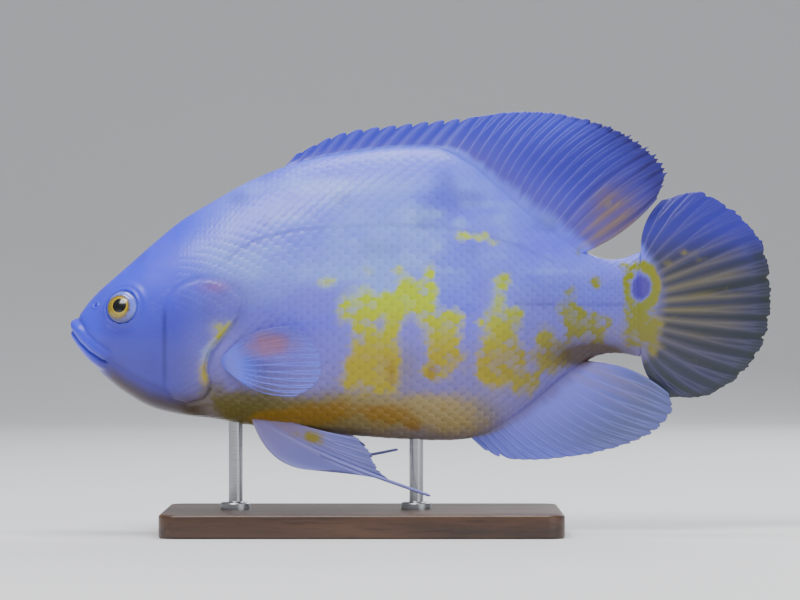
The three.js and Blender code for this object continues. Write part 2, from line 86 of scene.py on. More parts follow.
# Shared shape helpers
def smoothLine(knots, values, startSlope=None):
    # Cubic pieces through the values; the slope at a knot is the chord between its neighbours
    knots = np.asarray(knots, float)
    values = np.asarray(values, float)
    order = np.arange(len(knots))
    before, after = np.maximum(order - 1, 0), np.minimum(order + 1, len(knots) - 1)
    slope = (values[after] - values[before]) / (knots[after] - knots[before])
    if startSlope is not None:
        slope[0] = startSlope

    def at(u):
        u = np.asarray(u, float)
        i = np.clip(np.searchsorted(knots, u, side="left") - 1, 0, len(knots) - 2)
        h = knots[i + 1] - knots[i]
        t = (u - knots[i]) / h
        c = 3 * t * t - 2 * t ** 3
        return (values[i] * (1 - c) + values[i + 1] * c
                + h * (slope[i] * t * (1 - t) ** 2 - slope[i + 1] * t * t * (1 - t)))
    return at


def ramp(value, low, high):
    t = np.clip((value - low) / (high - low), 0, 1)
    return t * t * (3 - 2 * t)


def bump(distance, width):
    return np.exp(-(distance / width) ** 2)


def zone(value, low, full, ebb, end):
    # Rises from low to full and falls again from ebb to end
    return ramp(value, low, full) * (1 - ramp(value, ebb, end))


def ridges(distance, *rows):
    # Sum of soft ridges along a line, each by its offset, width and height
    return sum(height * bump(distance - offset, width) for offset, width, height in rows)


def ovals(rows, x, z):
    # Sum of soft ovals, each by its middle, how far it is drawn out in x and in z, its width and its strength
    return sum(strength * bump(np.hypot((x - cx) / longX, (z - cz) / longZ), width)
               for cx, cz, longX, longZ, width, strength in rows)


def patchwork(x, z, size, seed):
    # Smooth random field between -1 and 1: random numbers on a square lattice, eased between
    table = np.random.default_rng(seed).uniform(-1, 1, (97, 97))
    gx, gz = x / size + 500, z / size + 500
    i, j = np.floor(gx).astype(int), np.floor(gz).astype(int)
    fx, fz = gx - i, gz - j
    fx, fz = fx * fx * (3 - 2 * fx), fz * fz * (3 - 2 * fz)
    pick = lambda a, b: table[a % 97, b % 97]
    return ((pick(i, j) * (1 - fx) + pick(i + 1, j) * fx) * (1 - fz)
            + (pick(i, j + 1) * (1 - fx) + pick(i + 1, j + 1) * fx) * fz)


def beside(line, x, z):
    # Nearest point of an open line: signed distance, positive on its left, and the share along it
    best = np.full(np.shape(x), 1e9)
    share = np.zeros(np.shape(x))
    for i in range(len(line) - 1):
        ax, az = line[i]
        dx, dz = line[i + 1][0] - ax, line[i + 1][1] - az
        t = np.clip(((x - ax) * dx + (z - az) * dz) / (dx * dx + dz * dz), 0, 1)
        px, pz = x - ax - t * dx, z - az - t * dz
        distance = np.hypot(px, pz)
        nearer = distance < np.abs(best)
        best = np.where(nearer, distance * np.where(dx * pz - dz * px < 0, -1, 1), best)
        share = np.where(nearer, (i + t) / (len(line) - 1), share)
    return best, share


def insideDistance(outline, x, z):
    # Signed distance to a closed outline, positive inside
    closed = list(outline) + [outline[0]]
    distance, _ = beside(closed, x, z)
    crossings = np.zeros(np.shape(x), int)
    for (ax, az), (bx, bz) in zip(closed[:-1], closed[1:]):
        spans = (az > z) != (bz > z)
        crossings += spans & (x < ax + (z - az) * (bx - ax) / (bz - az + 1e-12))
    return np.where(crossings % 2 == 1, 1, -1) * np.abs(distance)


def makePiece(name, points, faces, fields=None, maps=None, closeSeams=None):
    # A mesh object from arrays: points in mm, faces, float fields per point and uv maps per point
    mesh = bpy.data.meshes.new(name)
    faces = faces if isinstance(faces, list) else faces.tolist()
    mesh.from_pydata((np.asarray(points).reshape(-1, 3) * mm).tolist(), [], faces)
    for field, values in (fields or {}).items():
        layer = mesh.attributes.new(field, "FLOAT", "POINT")
        layer.data.foreach_set("value", np.asarray(values, np.float32).ravel())
    corners = np.empty(len(mesh.loops), int)
    mesh.loops.foreach_get("vertex_index", corners)
    for title, uv in (maps or {}).items():
        layer = mesh.uv_layers.new(name=title)
        layer.data.foreach_set("uv", np.asarray(uv, np.float32).reshape(-1, 2)[corners].ravel())
    mesh.polygons.foreach_set("use_smooth", np.full(len(mesh.polygons), True))
    mesh.update()
    piece = bpy.data.objects.new(name, mesh)
    bpy.context.collection.objects.link(piece)
    if closeSeams:
        work = bmesh.new()
        work.from_mesh(mesh)
        bmesh.ops.remove_doubles(work, verts=work.verts, dist=closeSeams)
        bmesh.ops.recalc_face_normals(work, faces=work.faces)
        work.to_mesh(mesh)
        work.free()
    return piece


def gridFaces(rows, columns, wrapColumns=False, wrapRows=False):
    # Four-sided faces between neighbours of a grid of points, row by row
    r = np.arange(rows if wrapRows else rows - 1)
    c = np.arange(columns if wrapColumns else columns - 1)
    r, c = [g.ravel() for g in np.meshgrid(r, c, indexing="ij")]
    r2, c2 = (r + 1) % rows, (c + 1) % columns
    return np.stack([r * columns + c, r * columns + c2, r2 * columns + c2, r2 * columns + c], 1)


# Body
body = dict(
    stations=np.array([  # top x z, bottom x z, half width, level of the widest point
        [-150.2, 87.0, -150.2, 87.0, 0.0, 0.5], [-149.2, 90.0, -149.5, 83.9, 4.6, 0.5],
        [-146.5, 93.6, -147.3, 80.4, 7.6, 0.49], [-142.5, 99.0, -144.0, 76.2, 10.1, 0.48],
        [-137.5, 104.3, -139.8, 70.8, 12.5, 0.47], [-131.1, 109.9, -134.0, 65.0, 14.9, 0.46],
        [-123.5, 116.6, -126.0, 59.0, 17.2, 0.46], [-114.0, 124.9, -116.0, 53.4, 19.5, 0.46],
        [-102.9, 133.9, -103.5, 50.2, 21.6, 0.47], [-89.0, 142.4, -89.0, 48.4, 23.4, 0.48],
        [-75.0, 150.2, -75.0, 45.9, 24.4, 0.49], [-60.0, 156.6, -60.0, 43.8, 24.8, 0.5],
        [-44.0, 160.9, -44.0, 42.2, 24.6, 0.5], [-26.0, 163.9, -26.0, 40.9, 23.6, 0.5],
        [-8.0, 165.6, -8.0, 39.6, 22.0, 0.5], [8.0, 165.0, 8.0, 39.1, 20.0, 0.51],
        [22.0, 158.5, 22.0, 40.2, 17.4, 0.52], [34.0, 148.4, 34.0, 45.4, 14.7, 0.52],
        [46.0, 138.0, 46.0, 53.5, 12.2, 0.52], [58.0, 129.3, 58.0, 63.6, 10.0, 0.52],
        [69.0, 121.6, 69.0, 71.8, 8.2, 0.51], [77.5, 117.9, 77.5, 75.8, 6.9, 0.5],
        [85.5, 117.6, 85.5, 76.3, 5.6, 0.5], [94.0, 120.6, 94.0, 74.9, 4.2, 0.5]]),
    startSlopes=(0, 3.0, 0, -3.0, 3.6, None), backRidge=0.22, ridgeFrom=5, ridgeTo=11, belly=0.94,
    inset=0.42, reliefEnds=(22.6, 23.0), headRows=24, trunkRows=10, headStations=9, columns=224)
lastStation = len(body["stations"]) - 1.0
bodyLines = [smoothLine(np.arange(lastStation + 1), values, slope)
             for values, slope in zip(body["stations"].T, body["startSlopes"])]


def plainBody(u, a):
    # Section u at angle a from the back: a level between bottom and top by cos a, out by sin a to a power
    topX, topZ, bottomX, bottomZ, halfWidth, level = [line(u) for line in bodyLines]
    up, out = np.cos(a), np.sin(a)
    share = level + up * np.where(up > 0, 1 - level, level)
    ridge = ramp(u, body["ridgeFrom"], body["ridgeTo"])
    power = np.where(up > 0, 1 + body["backRidge"] * ridge, body["belly"])
    y = halfWidth * np.sign(out) * np.abs(out) ** power
    return np.stack([bottomX + (topX - bottomX) * share, y, bottomZ + (topZ - bottomZ) * share], -1)


def unit(v):
    return v / np.maximum(np.linalg.norm(v, axis=-1, keepdims=True), 1e-9)


def bodyFrame(u, a):
    # Outward normal and the two tangents' lengths, from small steps along the surface
    step = 0.02
    lowU, highU = np.maximum(u - step, 0), np.minimum(u + step, lastStation)
    alongU = (plainBody(highU, a) - plainBody(lowU, a)) / (highU - lowU)[..., None]
    alongA = (plainBody(u, a + step) - plainBody(u, a - step)) / (2 * step)
    return unit(np.cross(alongU, alongA)), np.linalg.norm(alongU, axis=-1), np.linalg.norm(alongA, axis=-1)


mouthLine = [(-156.0, 95.2), (-150.6, 87.6), (-146.1, 81.3), (-141.9, 77.4), (-136.4, 73.8), (-132.6, 72.4)]
cheekFold = [(-134.0, 75.5), (-130.0, 72.0), (-123.0, 67.4), (-114.2, 62.7), (-107.8, 59.5), (-101.0, 57.0)]
lateralLine = [(-86.5, 112.0), (-79.0, 119.5), (-69.0, 125.3), (-54.0, 128.8), (-39.0, 130.4), (-15.0, 131.2),
               (8.1, 130.4), (26.0, 127.6), (42.4, 122.5), (56.0, 116.0)]
lowerLine = [(40.0, 98.0), (60.0, 97.6), (93.0, 97.6)]
gillOutline = [
    (-107.4, 99.6), (-103.6, 103.8), (-99.0, 106.4), (-94.2, 107.9), (-89.6, 107.9), (-84.4, 106.9),
    (-80.5, 104.6), (-77.4, 101.6), (-76.3, 98.6), (-76.8, 95.1), (-78.2, 91.9), (-80.5, 88.9),
    (-83.1, 85.9), (-86.0, 83.0), (-88.5, 80.0), (-90.4, 77.0), (-91.4, 74.2), (-91.8, 71.0), (-91.6, 68.0),
    (-90.6, 65.0), (-90.0, 62.2), (-91.0, 59.4), (-93.0, 57.4), (-99.5, 55.6), (-105.4, 57.4),
    (-108.0, 62.5), (-108.6, 73.9), (-108.6, 90.1)]

# Relief on the plain body; a ridge is its offset, width and height
lips = [(2.5, 1.9, 1.1), (-2.0, 1.5, 0.8), (5.6, 1.0, -0.5), (-4.6, 0.9, -0.35), (0.0, 0.42, -1.5)]
mouthEnds, mouthFade = -126, (0.84, 1.0)
fold = dict(depth=0.5, width=0.9)
gillCover = dict(lift=0.75, frontLift=0.3, groove=0.9, grooveAt=-0.75, grooveWidth=0.6, front=(100, 107),
                 soften=0.65, softFrom=(92, 105), hollow=[[-112, 82, 1, 6.25, 2.2, 0.3]])
eye = dict(x=-127.5, z=96.7, radius=8.0, depth=6.0, proud=2.5, pupil=3.0, iris=5.2, hole=7.2, socket=3.0,
           lid=(7.6, 0.75, 0.75), brow=(10.2, 1.4, 0.35), bag=(9.3, 0.7, -0.4), steps=90, columns=120,
           lens=0.3, irisHollow=0.12, ringOff=(0.9, -0.5))
nostril = dict(x=-139.0, z=97.6, radius=0.8, rim=(1.4, 0.45, 0.42), depth=1.4)
sideLine = dict(depth=0.16, width=0.6, markWidth=0.8)


def skinAt(x, z):
    # Section, angle, point and normal on the +Y side where the body meets a side-view point
    tryU, tryA = np.arange(0.5, lastStation, 0.02), np.linspace(0.02, math.pi - 0.02, 400)
    u, a = np.meshgrid(tryU, tryA, indexing="ij")
    p = plainBody(u, a)
    k = np.unravel_index(np.argmin(np.hypot(p[..., 0] - x, p[..., 2] - z)), u.shape)
    normal, _, _ = bodyFrame(u[k], a[k])
    return p[k], normal


eyeSeat, eyeAxis = skinAt(eye["x"], eye["z"])
nostrilSeat, nostrilAxis = skinAt(nostril["x"], nostril["z"])


def aroundAxis(p, seat, axis):
    # Distance from an axis through seat, with y folded to the +Y side, and distance along it
    folded = np.stack([p[..., 0], np.abs(p[..., 1]), p[..., 2]], -1) - seat
    along = folded @ axis
    return np.linalg.norm(folded - along[..., None] * axis, axis=-1), along


def nearSideLine(x, z, width):
    upper, lower = beside(lateralLine, x, z)[0], beside(lowerLine, x, z)[0]
    return bump(np.minimum(np.abs(upper), np.abs(lower)), width)


def relief(p):
    # Height over the plain body: lips, mouth slit, cheek fold, gill cover, eye socket, nostrils, side line
    x, z = p[..., 0], p[..., 2]
    mouth, share = beside(mouthLine, x, z)
    height = (1 - ramp(share, *mouthFade)) * (x < mouthEnds) * ridges(mouth, *lips)
    crease, along = beside(cheekFold, x, z)
    height -= fold["depth"] * bump(crease, fold["width"]) * zone(along, 0, 0.15, 0.8, 1)
    gill = insideDistance(gillOutline, x, z)
    front = ramp(-x, *gillCover["front"])
    rear = (1 - gillCover["soften"] * ramp(z, *gillCover["softFrom"])) * (1 - front)
    height += gillCover["lift"] * rear * ramp(gill, -0.35, 0.5)
    height += gillCover["frontLift"] * front * ramp(gill, 0, 5)
    height -= ((gillCover["groove"] * rear + gillCover["frontLift"] * front)
               * bump(gill - gillCover["grooveAt"], gillCover["grooveWidth"]))
    height -= ovals(gillCover["hollow"], x, z)
    eyeReach, _ = aroundAxis(p, eyeSeat, eyeAxis)
    height += ridges(eyeReach, eye["lid"]) + ridges(eyeReach, eye["brow"]) * ramp(z, 94, 102)
    height += ridges(eyeReach, eye["bag"]) * (1 - ramp(z, 90, 97)) * (x > -134)
    height -= eye["socket"] * ramp(eye["hole"] - eyeReach, -0.15, 0.5)
    hole, _ = aroundAxis(p, nostrilSeat, nostrilAxis)
    height += ridges(hole, nostril["rim"])
    height -= nostril["depth"] * ramp(nostril["radius"] - hole, -0.2, 0.4)
    return height - sideLine["depth"] * nearSideLine(x, z, sideLine["width"])


def skinSurface(u, a, lift=0.0):
    # The plain body moved along its normal by the relief, less the depth that the scales take
    p = plainBody(u, a)
    normal, _, _ = bodyFrame(u, a)
    tail = 1 - ramp(u, *body["reliefEnds"])
    height = relief(p) * tail - body["inset"] + lift
    return p + normal * np.asarray(height)[..., None]


# Markings: x, z, half sizes and strength of each blotch
yellowBlotches = np.array([
    [-33.4, 96.1, 2.6, 6.0, 0.75], [-24.0, 97.4, 6.1, 6.4, 1.0], [-25.3, 90.1, 2.8, 3.6, 1.0],
    [-15.4, 96.1, 5.1, 4.3, 0.55], [-5.6, 104.7, 3.9, 5.1, 1.0], [-3.9, 97.9, 6.9, 5.1, 1.0],
    [2.6, 96.1, 3.0, 7.7, 1.0], [3.9, 112.4, 2.1, 2.8, 0.9], [4.3, 103.9, 2.1, 5.1, 0.85],
    [-11.6, 88.9, 2.6, 3.6, 1.0], [-11.1, 99.6, 3.4, 3.4, 0.7], [-19.7, 80.3, 8.0, 6.4, 0.9],
    [-24, 70, 8, 8, 0.5], [-12.4, 78.1, 2.6, 10.7, 1.0], [-29.6, 67.4, 3.4, 6.9, 0.75],
    [-21.0, 70.4, 4.3, 6.9, 0.85], [-14.1, 67.4, 4.1, 8.6, 1.0], [9.0, 86.7, 5.1, 6.0, 0.95],
    [10.7, 77.3, 6.0, 9.4, 1.0], [4.7, 69.6, 3.4, 4.3, 1.0], [14.6, 91.9, 3.4, 3.4, 0.6],
    [35.1, 107.3, 2.6, 3.4, 0.85], [32.6, 101.3, 2.6, 6.0, 0.85], [33.9, 91.0, 6.0, 5.1, 0.85],
    [41.1, 92.7, 2.6, 3.9, 1.0], [32.6, 82.4, 6.0, 6.9, 0.85], [35.1, 71.7, 8.6, 8.4, 1.1],
    [28.7, 68.7, 4.3, 5.1, 0.95], [44.6, 63.1, 4.3, 4.3, 0.9], [53.1, 83.6, 4.0, 4.4, 1.0],
    [56.1, 75.7, 6.4, 5.4, 1.3], [63.9, 103.0, 2.8, 2.8, 0.7], [74.6, 107.3, 3.0, 2.4, 0.8],
    [62.4, 95.4, 5.2, 4.0, 0.8], [71.4, 87.4, 8.2, 5.8, 1.25], [91.0, 91.0, 4.4, 10.0, 0.95],
    [97.5, 88.5, 6.0, 5.4, 0.85], [98.6, 80.0, 3.0, 5.0, 0.7], [17.4, 127.0, 2.6, 1.8, 1.1],
    [25.2, 126.6, 3.0, 1.8, 1.0], [31.0, 124.0, 2.2, 1.4, 0.7], [4.7, 134.8, 2.0, 1.3, 0.35],
    [-80.5, 91.0, 4.5, 3.2, 0.3], [-22.7, 112.4, 2.8, 2.6, 0.5], [-10.3, 112.4, 3.4, 2.4, 0.45],
    [-39.9, 107.3, 3.2, 2.3, 0.75], [67.7, 120.6, 1.5, 1.9, 0.8], [88.0, 112.0, 4.0, 4.4, 0.5]])
bellyBlotches = np.array([
    [-86, 60, 12, 7, 0.7], [-70, 53, 18, 8, 1.0], [-45, 51, 18, 8, 1.1], [-24, 53, 14, 9, 1.05],
    [0, 52, 14, 8.5, 1.0], [16, 50, 12, 8, 0.9], [30, 60, 8, 5, 0.35]])
orangeBlotches = np.array([
    [-38, 54, 16, 4.0, 0.8], [10, 54, 9, 3.5, 0.55], [-52, 49, 17, 3.4, 1.0], [-13, 51, 10, 4.6, 1.0],
    [-3, 46, 3.6, 2.3, 1.0], [-13.0, 69, 3.0, 9.0, 0.75], [4.7, 69, 3.0, 3.8, 0.9], [57, 73, 3.5, 3, 0.6],
    [34, 69, 5, 4, 0.5], [-66, 49, 8, 4, 0.6]])
# Pale patches of the fish; the fourth, long and thin along the upper back, is a painted highlight where the
# light from above falls
paleAndHighlightBlotches = np.array([
    [-70, 113, 16, 7, 0.9], [-16, 116, 25, 9, 0.85], [-20, 135, 22, 8, 0.5], [-32, 148, 36, 3.4, 0.75],
    [-90, 121, 7, 5, 0.4], [-16, 105.5, 6, 6, 0.9], [-4, 134.6, 1.8, 1.6, 1.3], [5.4, 136.2, 2.8, 1.4, 1.3],
    [16.6, 132.4, 1.8, 1.8, 1.3], [6.4, 122.6, 2.0, 2.2, 1.2]])
vividBlotches = np.array([
    [14.6, 139, 11, 9, 0.9], [60, 124, 20, 6, 0.9], [16, 101, 8, 20, 0.85], [46, 112, 13, 9, 0.7],
    [-107, 113, 10, 12, 0.6], [18, 112, 10, 13, 0.5], [-56, 92, 20, 6, 0.6], [-45, 78, 12, 8, 0.35],
    [70, 100, 10, 7, 0.6], [-52, 155, 26, 4, 0.5]])
gillEdge = [(-81.5, 89.6), (-84.0, 86.2), (-88.0, 81.2), (-91.0, 76.0), (-92.2, 71.0), (-91.8, 65.8)]
# Ovals: x, z, how far drawn out in x and in z, width and strength
markOvals = dict(
    # The second dusk oval is painted shade in the notch between the tail stem's underside and the anal fin's
    # rear
    dusk=[[62, 82, 2.4, 1, 11, 0.12], [74, 76, 2.7, 1, 5.5, 1.7], [20, 70, 2.6, 1, 12, 0.16]],
    cheekDusk=[[-84, 97, 1.7, 1.2, 9.5, 0.34]], cheekShade=[[-86, 93, 1.9, 1.2, 11, 0.42]],
    # The first shade oval is painted shade under the eye
    shade=[[-127, 86.5, 1.6, 1, 3.0, 0.35], [-76, 67, 2.6, 1, 7, 0.3]],
    under=[[90, 80, 1.2, 1, 11, 0.6], [-8, 71, 1, 1.5, 7, 0.55]],
    red=[[-87, 105.2, 2.6, 1, 2.4, 0.6], [-60, 80, 1.5, 1, 8, 0.2]], knob=[[-85.2, 87.2, 1.15, 1, 3.1, 0.85]])
yellowShape = dict(power=1.1, ragged=0.8, edge=(0.32, 0.92), wash=0.5, washRagged=0.25, washEdge=(0.12, 0.7),
                   farUpTo=(-90, -70), farShift=(9, 7), farGrain=(31, 27))
gillStripe = dict(outside=-0.9, width=1.35, widening=0.7, ragged=0.35, paleAt=0.55, paleLength=0.2,
                  thinned=0.7, cream=1.4)
# Painted shade in the head's creases: offset, width and strength of the dark line along the mouth slit, the
# fold over the lip, the cheek fold, the gill cover's front groove and the slot behind its rear edge
creaseShadeLines = dict(mouth=(0, 0.6, 0.6), lip=(6.0, 1.3, 0.35), cheek=(0.6, 1.3, 0.3),
                 gillFront=(-108.9, 1.1, 0.75), gillRear=(2.2, 0.8, 0.55))
blotchEdges = dict(belly=(0.25, 1.15), orange=(0.35, 0.95))
# Painted shade: the throat's dusk darkens a band along the bottom outline under the head, where the light
# from above leaves it in shade
throat = dict(dusk=0.95, deep=(3, 13), along=(88, 98, 128, 146))
backShade = dict(strength=0.4, grain=11, seed=12, edge=(0.2, 0.9), levels=(105, 125, 150, 160))
tailShade = dict(strength=0.4, along=(26, 56), below=(103, 115))
sideLineShade = dict(strength=0.3, behind=(-86, -80))
paleClouds = dict(strength=0.3, behind=(-100, -88), above=(88, 100))
paleStreaks = dict(strength=0.4, edge=(0.0, 0.8), behind=(-84, -60), levels=(96, 110, 140, 158))
underside = dict(below=(50, 64), upTo=(20, 44), soft=0.3, softBelow=(60, 94), behind=(-112, -92),
                 tail=0.65, tailFrom=(95, 102))
spot = dict(x=94.3, z=105.2, narrow=0.72, ragged=1.3, heart=(4.6, 6.6), ring=(5.2, 7.0, 10.6, 12.6))


def blotches(table, x, z, power=1.5):
    # Sum of soft ellipses, each near its strength inside and falling off past its half sizes
    total = np.zeros(np.shape(x))
    for cx, cz, rx, rz, strength in table:
        total += strength * np.exp(-0.7 * (((x - cx) / rx) ** 2 + ((z - cz) / rz) ** 2) ** power)
    return total


def tailSpot(x, z, ragged):
    # The violet middle of the spot at the tail's root and the yellow ring round it, an upright ellipse
    reach = np.hypot((x - spot["x"]) / spot["narrow"], z - spot["z"]) + spot["ragged"] * ragged
    return 1 - ramp(reach, *spot["heart"]), zone(reach, *spot["ring"])


def yellowMarks(x, y, z, ragged):
    # Blotches with ragged edges and a thin wash round them; those of the far side lie elsewhere
    far = (y > 0) * ramp(-x, *yellowShape["farUpTo"])
    moveX, moveZ = [far * shift * patchwork(x, z, grain, seed) for shift, grain, seed
                    in zip(yellowShape["farShift"], yellowShape["farGrain"], (51, 52))]
    mass = blotches(yellowBlotches, x + moveX, z + moveZ, yellowShape["power"])
    dots = ramp(mass + yellowShape["ragged"] * ragged * ramp(mass, 0.05, 0.3), *yellowShape["edge"])
    wash = ramp(mass + yellowShape["washRagged"] * ragged, *yellowShape["washEdge"])
    return dots + (1 - dots) * yellowShape["wash"] * wash


def headCreaseShade(x, z):
    # Painted shade in the mouth slit, in the fold over the lip, in the cheek fold and in the groove at the
    # gill cover's front
    mouth, share = beside(mouthLine, x, z)
    crease, along = beside(cheekFold, x, z)
    return (ridges(mouth, creaseShadeLines["mouth"]) * (x < -131)
            + ridges(mouth, creaseShadeLines["lip"]) * (1 - ramp(share, 0.7, 1.0)) * (x < mouthEnds)
            + ridges(crease, creaseShadeLines["cheek"]) * zone(along, 0, 0.2, 0.7, 1)
            + ridges(x, creaseShadeLines["gillFront"]) * zone(z, 60, 70, 90, 100))


def markings(x, y, z):
    # Strength of each colour mark at a point of the skin, from 0 to 1
    seed = np.where(y < 0, 0.0, 37.0)
    ragged = patchwork(x + seed, z, 3.1, 5) * 0.5 + patchwork(x + seed, z, 1.4, 6) * 0.4
    cloud = patchwork(x - 9, z + seed, 9, 15)
    streaks = patchwork((x - 9) / 3.6, z + seed, 3.2, 18)
    marks = {title: ovals(rows, x, z) for title, rows in markOvals.items()}
    marks["belly"] = ramp(blotches(bellyBlotches, x, z, 1.1) + 0.3 * ragged + 0.3 * cloud,
                         *blotchEdges["belly"])
    marks["orange"] = ramp(blotches(orangeBlotches, x, z, 1.2) + 0.3 * ragged, *blotchEdges["orange"])
    marks["vivid"] = blotches(vividBlotches, x, z, 1.2) * (1 + 0.5 * streaks + 0.4 * cloud)
    marks["violet"], ring = tailSpot(x, z, ragged)

    edge, down = beside(gillEdge, x, z)
    width = gillStripe["width"] + gillStripe["widening"] * down + gillStripe["ragged"] * ragged
    stripe = np.where(insideDistance(gillOutline, x, z) > gillStripe["outside"], bump(edge, width), 0)
    creamy = bump(down - gillStripe["paleAt"], gillStripe["paleLength"])
    yellow = np.maximum(yellowMarks(x, y, z, ragged), ring) * (1 - marks["violet"])
    stripe, cream = stripe * (1 - gillStripe["thinned"] * creamy), stripe * creamy
    yellow = np.clip(np.maximum(yellow, np.maximum(stripe, marks.pop("knob"))), 0, 1)

    overBelly = z - np.interp(x, body["stations"][:, 2], body["stations"][:, 3])
    dusk = marks["dusk"] + marks.pop("cheekDusk") * (0.85 + 0.5 * patchwork(x, z, 6, 9))
    # painted shade along the underside of the throat
    dusk += throat["dusk"] * (1 - ramp(overBelly, *throat["deep"])) * zone(-x, *throat["along"])
    dusk = np.clip(dusk, 0, 1)
    shade = marks["shade"] + marks.pop("cheekShade") * (1 + 0.4 * cloud) + headCreaseShade(x, z)
    patches = ramp(patchwork(x + seed, z, backShade["grain"], backShade["seed"]), *backShade["edge"])
    shade += backShade["strength"] * patches * zone(z, *backShade["levels"])
    shade += tailShade["strength"] * ramp(x, *tailShade["along"]) * (1 - ramp(z, *tailShade["below"]))
    # painted shade in the slot behind the gill cover's edge
    shade += ridges(edge, creaseShadeLines["gillRear"]) * bump(down - 0.5, 0.35)
    shade += (sideLineShade["strength"] * nearSideLine(x, z, sideLine["markWidth"])
              * ramp(x, *sideLineShade["behind"]))
    pale = blotches(paleAndHighlightBlotches, x, z, 1.0) + gillStripe["cream"] * cream
    pale += (paleClouds["strength"] * cloud * ramp(x, *paleClouds["behind"])
             * ramp(z, *paleClouds["above"]))
    pale += (paleStreaks["strength"] * ramp(streaks, *paleStreaks["edge"])
             * ramp(x, *paleStreaks["behind"]) * zone(z, *paleStreaks["levels"]))
    under = (1 - ramp(z, *underside["below"])) * (1 - ramp(x, *underside["upTo"]))
    under += underside["soft"] * (1 - ramp(z, *underside["softBelow"]))
    marks["under"] += under * ramp(x, *underside["behind"])
    marks["under"] += underside["tail"] * ramp(x, *underside["tailFrom"])
    marks.update(yellow=yellow, dusk=dusk, shade=shade * (1 - dusk) * (1 - 0.8 * yellow), pale=pale,
                 upper=np.maximum(ramp(z, 60, 150), 0.5 * ramp(-x, 128, 142)), face=ramp(-x, 80, 106),
                 along=(x + 100) / 170)
    return {title: np.clip(strength, 0, 1) for title, strength in marks.items()}


mapEdge = 0.03


def unwrap(u, a):
    # Skin laid flat: along the body across the map, round the section up the map
    turn = np.mod(a, 2 * math.pi) / (2 * math.pi)
    return mapEdge + (1 - 2 * mapEdge) * np.stack([u / lastStation, turn], -1)


def makeSkin():
    # The body's surface on a grid of sections and angles, closed by a fan at the snout and at the tail
    head = np.arange(1, body["headStations"] * body["headRows"]) / body["headRows"]
    trunk = np.linspace(body["headStations"], lastStation,
                        int((lastStation - body["headStations"]) * body["trunkRows"]) + 1)
    rows = np.concatenate([[0.01, 0.02], head, trunk])
    angles = np.linspace(0, 2 * math.pi, body["columns"], endpoint=False)
    u, a = np.meshgrid(rows, angles, indexing="ij")
    p = skinSurface(u, a)
    points = np.concatenate([p.reshape(-1, 3), p[0].mean(0)[None], p[-1].mean(0)[None]])
    count = u.size
    ring = np.arange(body["columns"])
    following = (ring + 1) % body["columns"]
    last = count - body["columns"]
    snoutFan = np.stack([0 * ring + count, following, ring], 1)
    tailFan = np.stack([last + ring, last + following, 0 * ring + count + 1], 1)
    sides = gridFaces(len(rows), body["columns"], wrapColumns=True)
    faces = sides.tolist() + snoutFan.tolist() + tailFan.tolist()
    uv = np.concatenate([unwrap(u, a).reshape(-1, 2), [[mapEdge, 0.5]], [[1 - mapEdge, 0.5]]])
    return makePiece("skin", points, faces, markings(*points.T), {"OFBake": uv}, 1e-7)


# Scales: lengths, row heights, and how far each stands off the skin
scaleSizes = dict(x=[-122, -108, -92, -70, -20, 40, 75, 94], length=[2.2, 3.0, 4.1, 5.1, 5.6, 5.0, 3.9, 3.0],
                  height=[2.0, 2.7, 3.7, 4.6, 5.0, 4.4, 3.4, 2.7], stations=(4.5, 22.95), edge=0.3,
                  overlap=1.5, spread=1.24, rise=0.22, dome=0.09, rim=-0.22, across=7, along=8,
                  roundFrom=0.42, roundLength=0.6, rootWidth=0.82, cheekRise=0.3, napeFlat=0.45, least=0.45,
                  grownFrom=(-112, -74), lengthVaries=0.04, tiltVaries=0.016, yellowVaries=0.16,
                  oneColour=0.35, oneColourUpTo=(74, 84), patch=0.003, seatedAt=0.45, hinge=0.25,
                  fullWidth=4.5, widestFrom=0.4, napeAt=(108, 140))
bareSkin = dict(snout=-119, brow=(-105, 105, 0.55), eye=12.5, throat=[(-109, 64), (-100, 57)],
                gillRear=(-0.6, 1.7), gillFront=(-109, 1.8, 62, 95), finRoot=(-81.0, 72.5, 0.55, 3.6))


def alongScales(what, x):
    return np.interp(x, scaleSizes["x"], scaleSizes[what])


def placeScales(side):
    # Rows run at even heights up and down from mid-side; every second row is half a scale further back
    midU = np.linspace(*scaleSizes["stations"], 900)
    midX = plainBody(midU, np.full(900, math.pi / 2))[:, 0]
    length = alongScales("length", midX)
    count = np.concatenate([[0], np.cumsum(np.diff(midX) / (0.5 * (length[1:] + length[:-1])))])
    found = []
    angles = np.linspace(0.0, math.pi, 700)
    for k in range(1, int(count[-1] * 2)):
        u = np.interp(k / 2, count, midU)
        section = plainBody(np.full(700, u), angles)
        arc = np.concatenate([[0], np.cumsum(np.linalg.norm(np.diff(section, axis=0), axis=1))])
        rows = np.arange(-60, 61)
        rows = rows[(rows + k) % 2 == 0]
        step = alongScales("height", np.interp(u, midU, midX))
        place = np.interp(math.pi / 2, angles, arc) + rows * step * 0.5
        place = place[(place > scaleSizes["edge"]) & (place < arc[-1] - scaleSizes["edge"])]
        found.append(np.stack([np.full(len(place), u), np.interp(place, arc, angles)], 1))
    spots = np.concatenate(found)
    p = plainBody(spots[:, 0], spots[:, 1])
    x, z = p[:, 0], p[:, 2]
    eyeReach, _ = aroundAxis(p, eyeSeat, eyeAxis)
    gill = insideDistance(gillOutline, x, z)
    browX, browZ, slope = bareSkin["brow"]
    bare = (x < bareSkin["snout"]) | ((x < browX) & (z > browZ + (x - browX) * slope))
    bare |= eyeReach < bareSkin["eye"]
    for before, below in bareSkin["throat"]:
        bare |= (x < before) & (z < below)
    offset, width = bareSkin["gillRear"]
    bare |= np.abs(gill - offset) < width
    frontX, width, low, high = bareSkin["gillFront"]
    bare |= (np.abs(x - frontX) < width) & (z > low) & (z < high)
    rootX, rootZ, flatter, radius = bareSkin["finRoot"]
    bare |= np.hypot(x - rootX, (z - rootZ) * flatter) < radius
    return spots[~bare] * [1, side]


